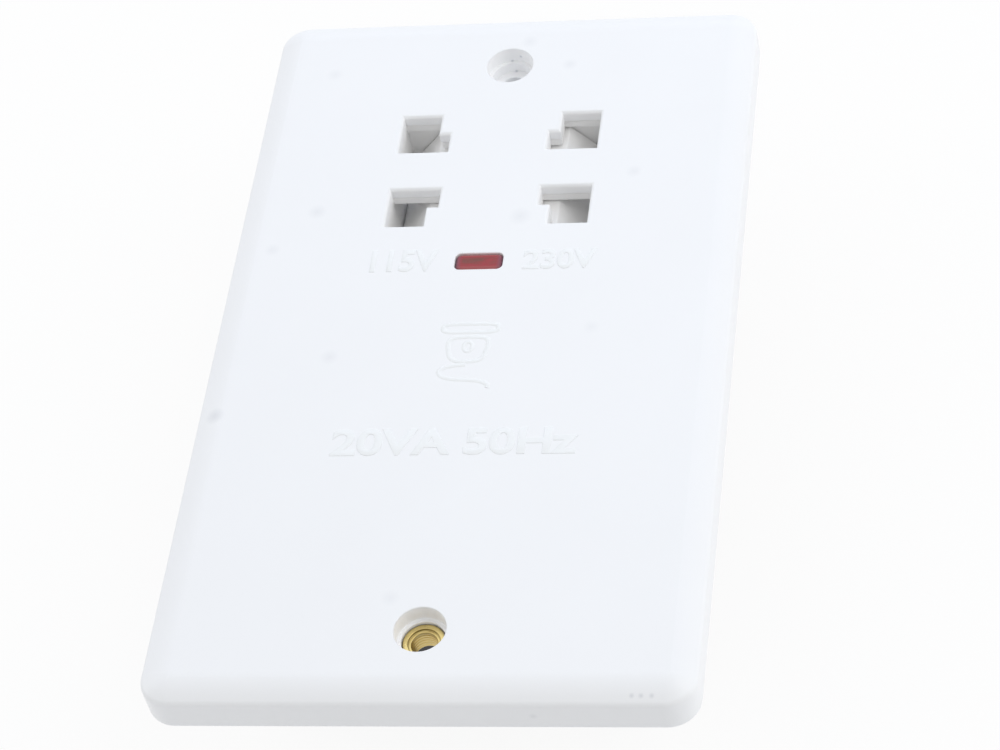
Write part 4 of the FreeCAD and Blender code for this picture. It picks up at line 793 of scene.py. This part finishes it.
class SOCKET_OT_stage(bpy.types.Operator):
    """The floor, the soft light and the camera"""

    bl_idname = "socket.stage"
    bl_label = "Stage"

    def execute(self, context):
        scene, stage = context.scene, context.scene.socket_stage
        scene.view_settings.view_transform = "Standard"
        self.light_room(scene, stage)
        self.lay_floor(stage)
        cool = (0.64, 0.77, 1.0)
        self.hang_panel("overhead", (0.0, 0.64, 0.58), (0.8, 0.8), stage.key, cool)
        self.hang_panel("right", (0.7, 0.05, 0.55), (0.5, 1.0), stage.side, WHITE)
        self.hang_panel("left", (-0.9, 0.1, 0.5), (0.5, 1.0), stage.fill, WHITE)
        view = bpy.data.cameras.new("view")
        view.sensor_width = 36.0
        view.lens = stage.focal
        view.shift_x = stage.shift
        camera = bpy.data.objects.new("view", view)
        camera.location = stage.camera_place
        camera.rotation_euler = stage.camera_turn
        scene.collection.objects.link(camera)
        scene.camera = camera
        return {"FINISHED"}

    def light_room(self, scene, stage):
        """Even light from all round; rays straight from the camera, mirrors and glass see white."""
        scene.world = bpy.data.worlds.new("room")
        scene.world.use_nodes = True
        room = Nodes(scene.world.node_tree)
        strength = room.remap(room.seen(), stage.ambient, 1.0)
        backdrop = room.add("ShaderNodeBackground", {"Color": rgba(WHITE), "Strength": strength})
        room.add("ShaderNodeOutputWorld", {"Surface": backdrop.outputs["Background"]})

    def lay_floor(self, stage):
        """A pale floor whose seen colour is nearly white, with the object's soft shadow."""
        reach = (-2.0, 2.0)
        x, y = np.meshgrid(reach, reach)
        floor = surface("floor", np.stack([x, y, np.full_like(x, FLOOR)], -1))
        look = Finish("floor_white")
        look.set(Base_Color=(0.93, 0.93, 0.93, 1.0), Roughness=0.9)
        ground = look.add("ShaderNodeEmission", {"Color": rgba(WHITE), "Strength": 1.0})
        share = look.math("MULTIPLY", look.seen(), stage.floor_white)
        mixed = look.add("ShaderNodeMixShader", {
            0: share, 1: look.shader.outputs["BSDF"], 2: ground.outputs["Emission"]})
        look.feed(look.output.inputs["Surface"], mixed.outputs["Shader"])
        floor.data.materials.append(look.material)

    def hang_panel(self, name, place, size, power, tint):
        """A broad light panel that faces the plate."""
        panel = bpy.data.lights.new(name, "AREA")
        panel.shape = "RECTANGLE"
        panel.size, panel.size_y = size
        panel.energy = power
        panel.color = tint
        lamp = bpy.data.objects.new(name, panel)
        lamp.location = place
        lamp.rotation_euler = (-lamp.location).to_track_quat("-Z", "Y").to_euler()
        bpy.context.scene.collection.objects.link(lamp)


class SOCKET_PT_finish(bpy.types.Panel):
    """Sizes, colours and steps of the finish"""

    bl_label = "Shaver socket"
    bl_idname = "SOCKET_PT_finish"
    bl_space_type = "VIEW_3D"
    bl_region_type = "UI"
    bl_category = "Socket"

    def draw(self, context):
        scene = context.scene
        for settings in (scene.socket_sizes, scene.socket_colours, scene.socket_stage):
            box = self.layout.box()
            for name in settings.__annotations__:
                box.prop(settings, name)
        for step in STEPS:
            self.layout.operator(step.bl_idname)


GROUPS = {"socket_sizes": SocketSizes, "socket_colours": SocketColours, "socket_stage": SocketStage}
STEPS = (SOCKET_OT_plate, SOCKET_OT_relief, SOCKET_OT_window, SOCKET_OT_shutters, SOCKET_OT_springs,
         SOCKET_OT_contacts, SOCKET_OT_terminals, SOCKET_OT_screws, SOCKET_OT_transformer, SOCKET_OT_back,
         SOCKET_OT_stage)


def register():
    """Adds the settings, steps and panel."""
    for made in (*GROUPS.values(), *STEPS, SOCKET_PT_finish):
        bpy.utils.register_class(made)
    for name, group in GROUPS.items():
        setattr(bpy.types.Scene, name, bpy.props.PointerProperty(type=group))


def unregister():
    """Removes the panel, steps and settings."""
    for name in GROUPS:
        delattr(bpy.types.Scene, name)
    for made in (SOCKET_PT_finish, *reversed(STEPS), *GROUPS.values()):
        bpy.utils.unregister_class(made)


def main():
    """Runs every step in order."""
    register()
    bpy.ops.socket.plate()
    bpy.ops.socket.relief()
    bpy.ops.socket.window()
    bpy.ops.socket.shutters()
    bpy.ops.socket.springs()
    bpy.ops.socket.contacts()
    bpy.ops.socket.terminals()
    bpy.ops.socket.screws()
    bpy.ops.socket.transformer()
    bpy.ops.socket.back()
    bpy.ops.socket.stage()


if __name__ == "__main__":
    main()
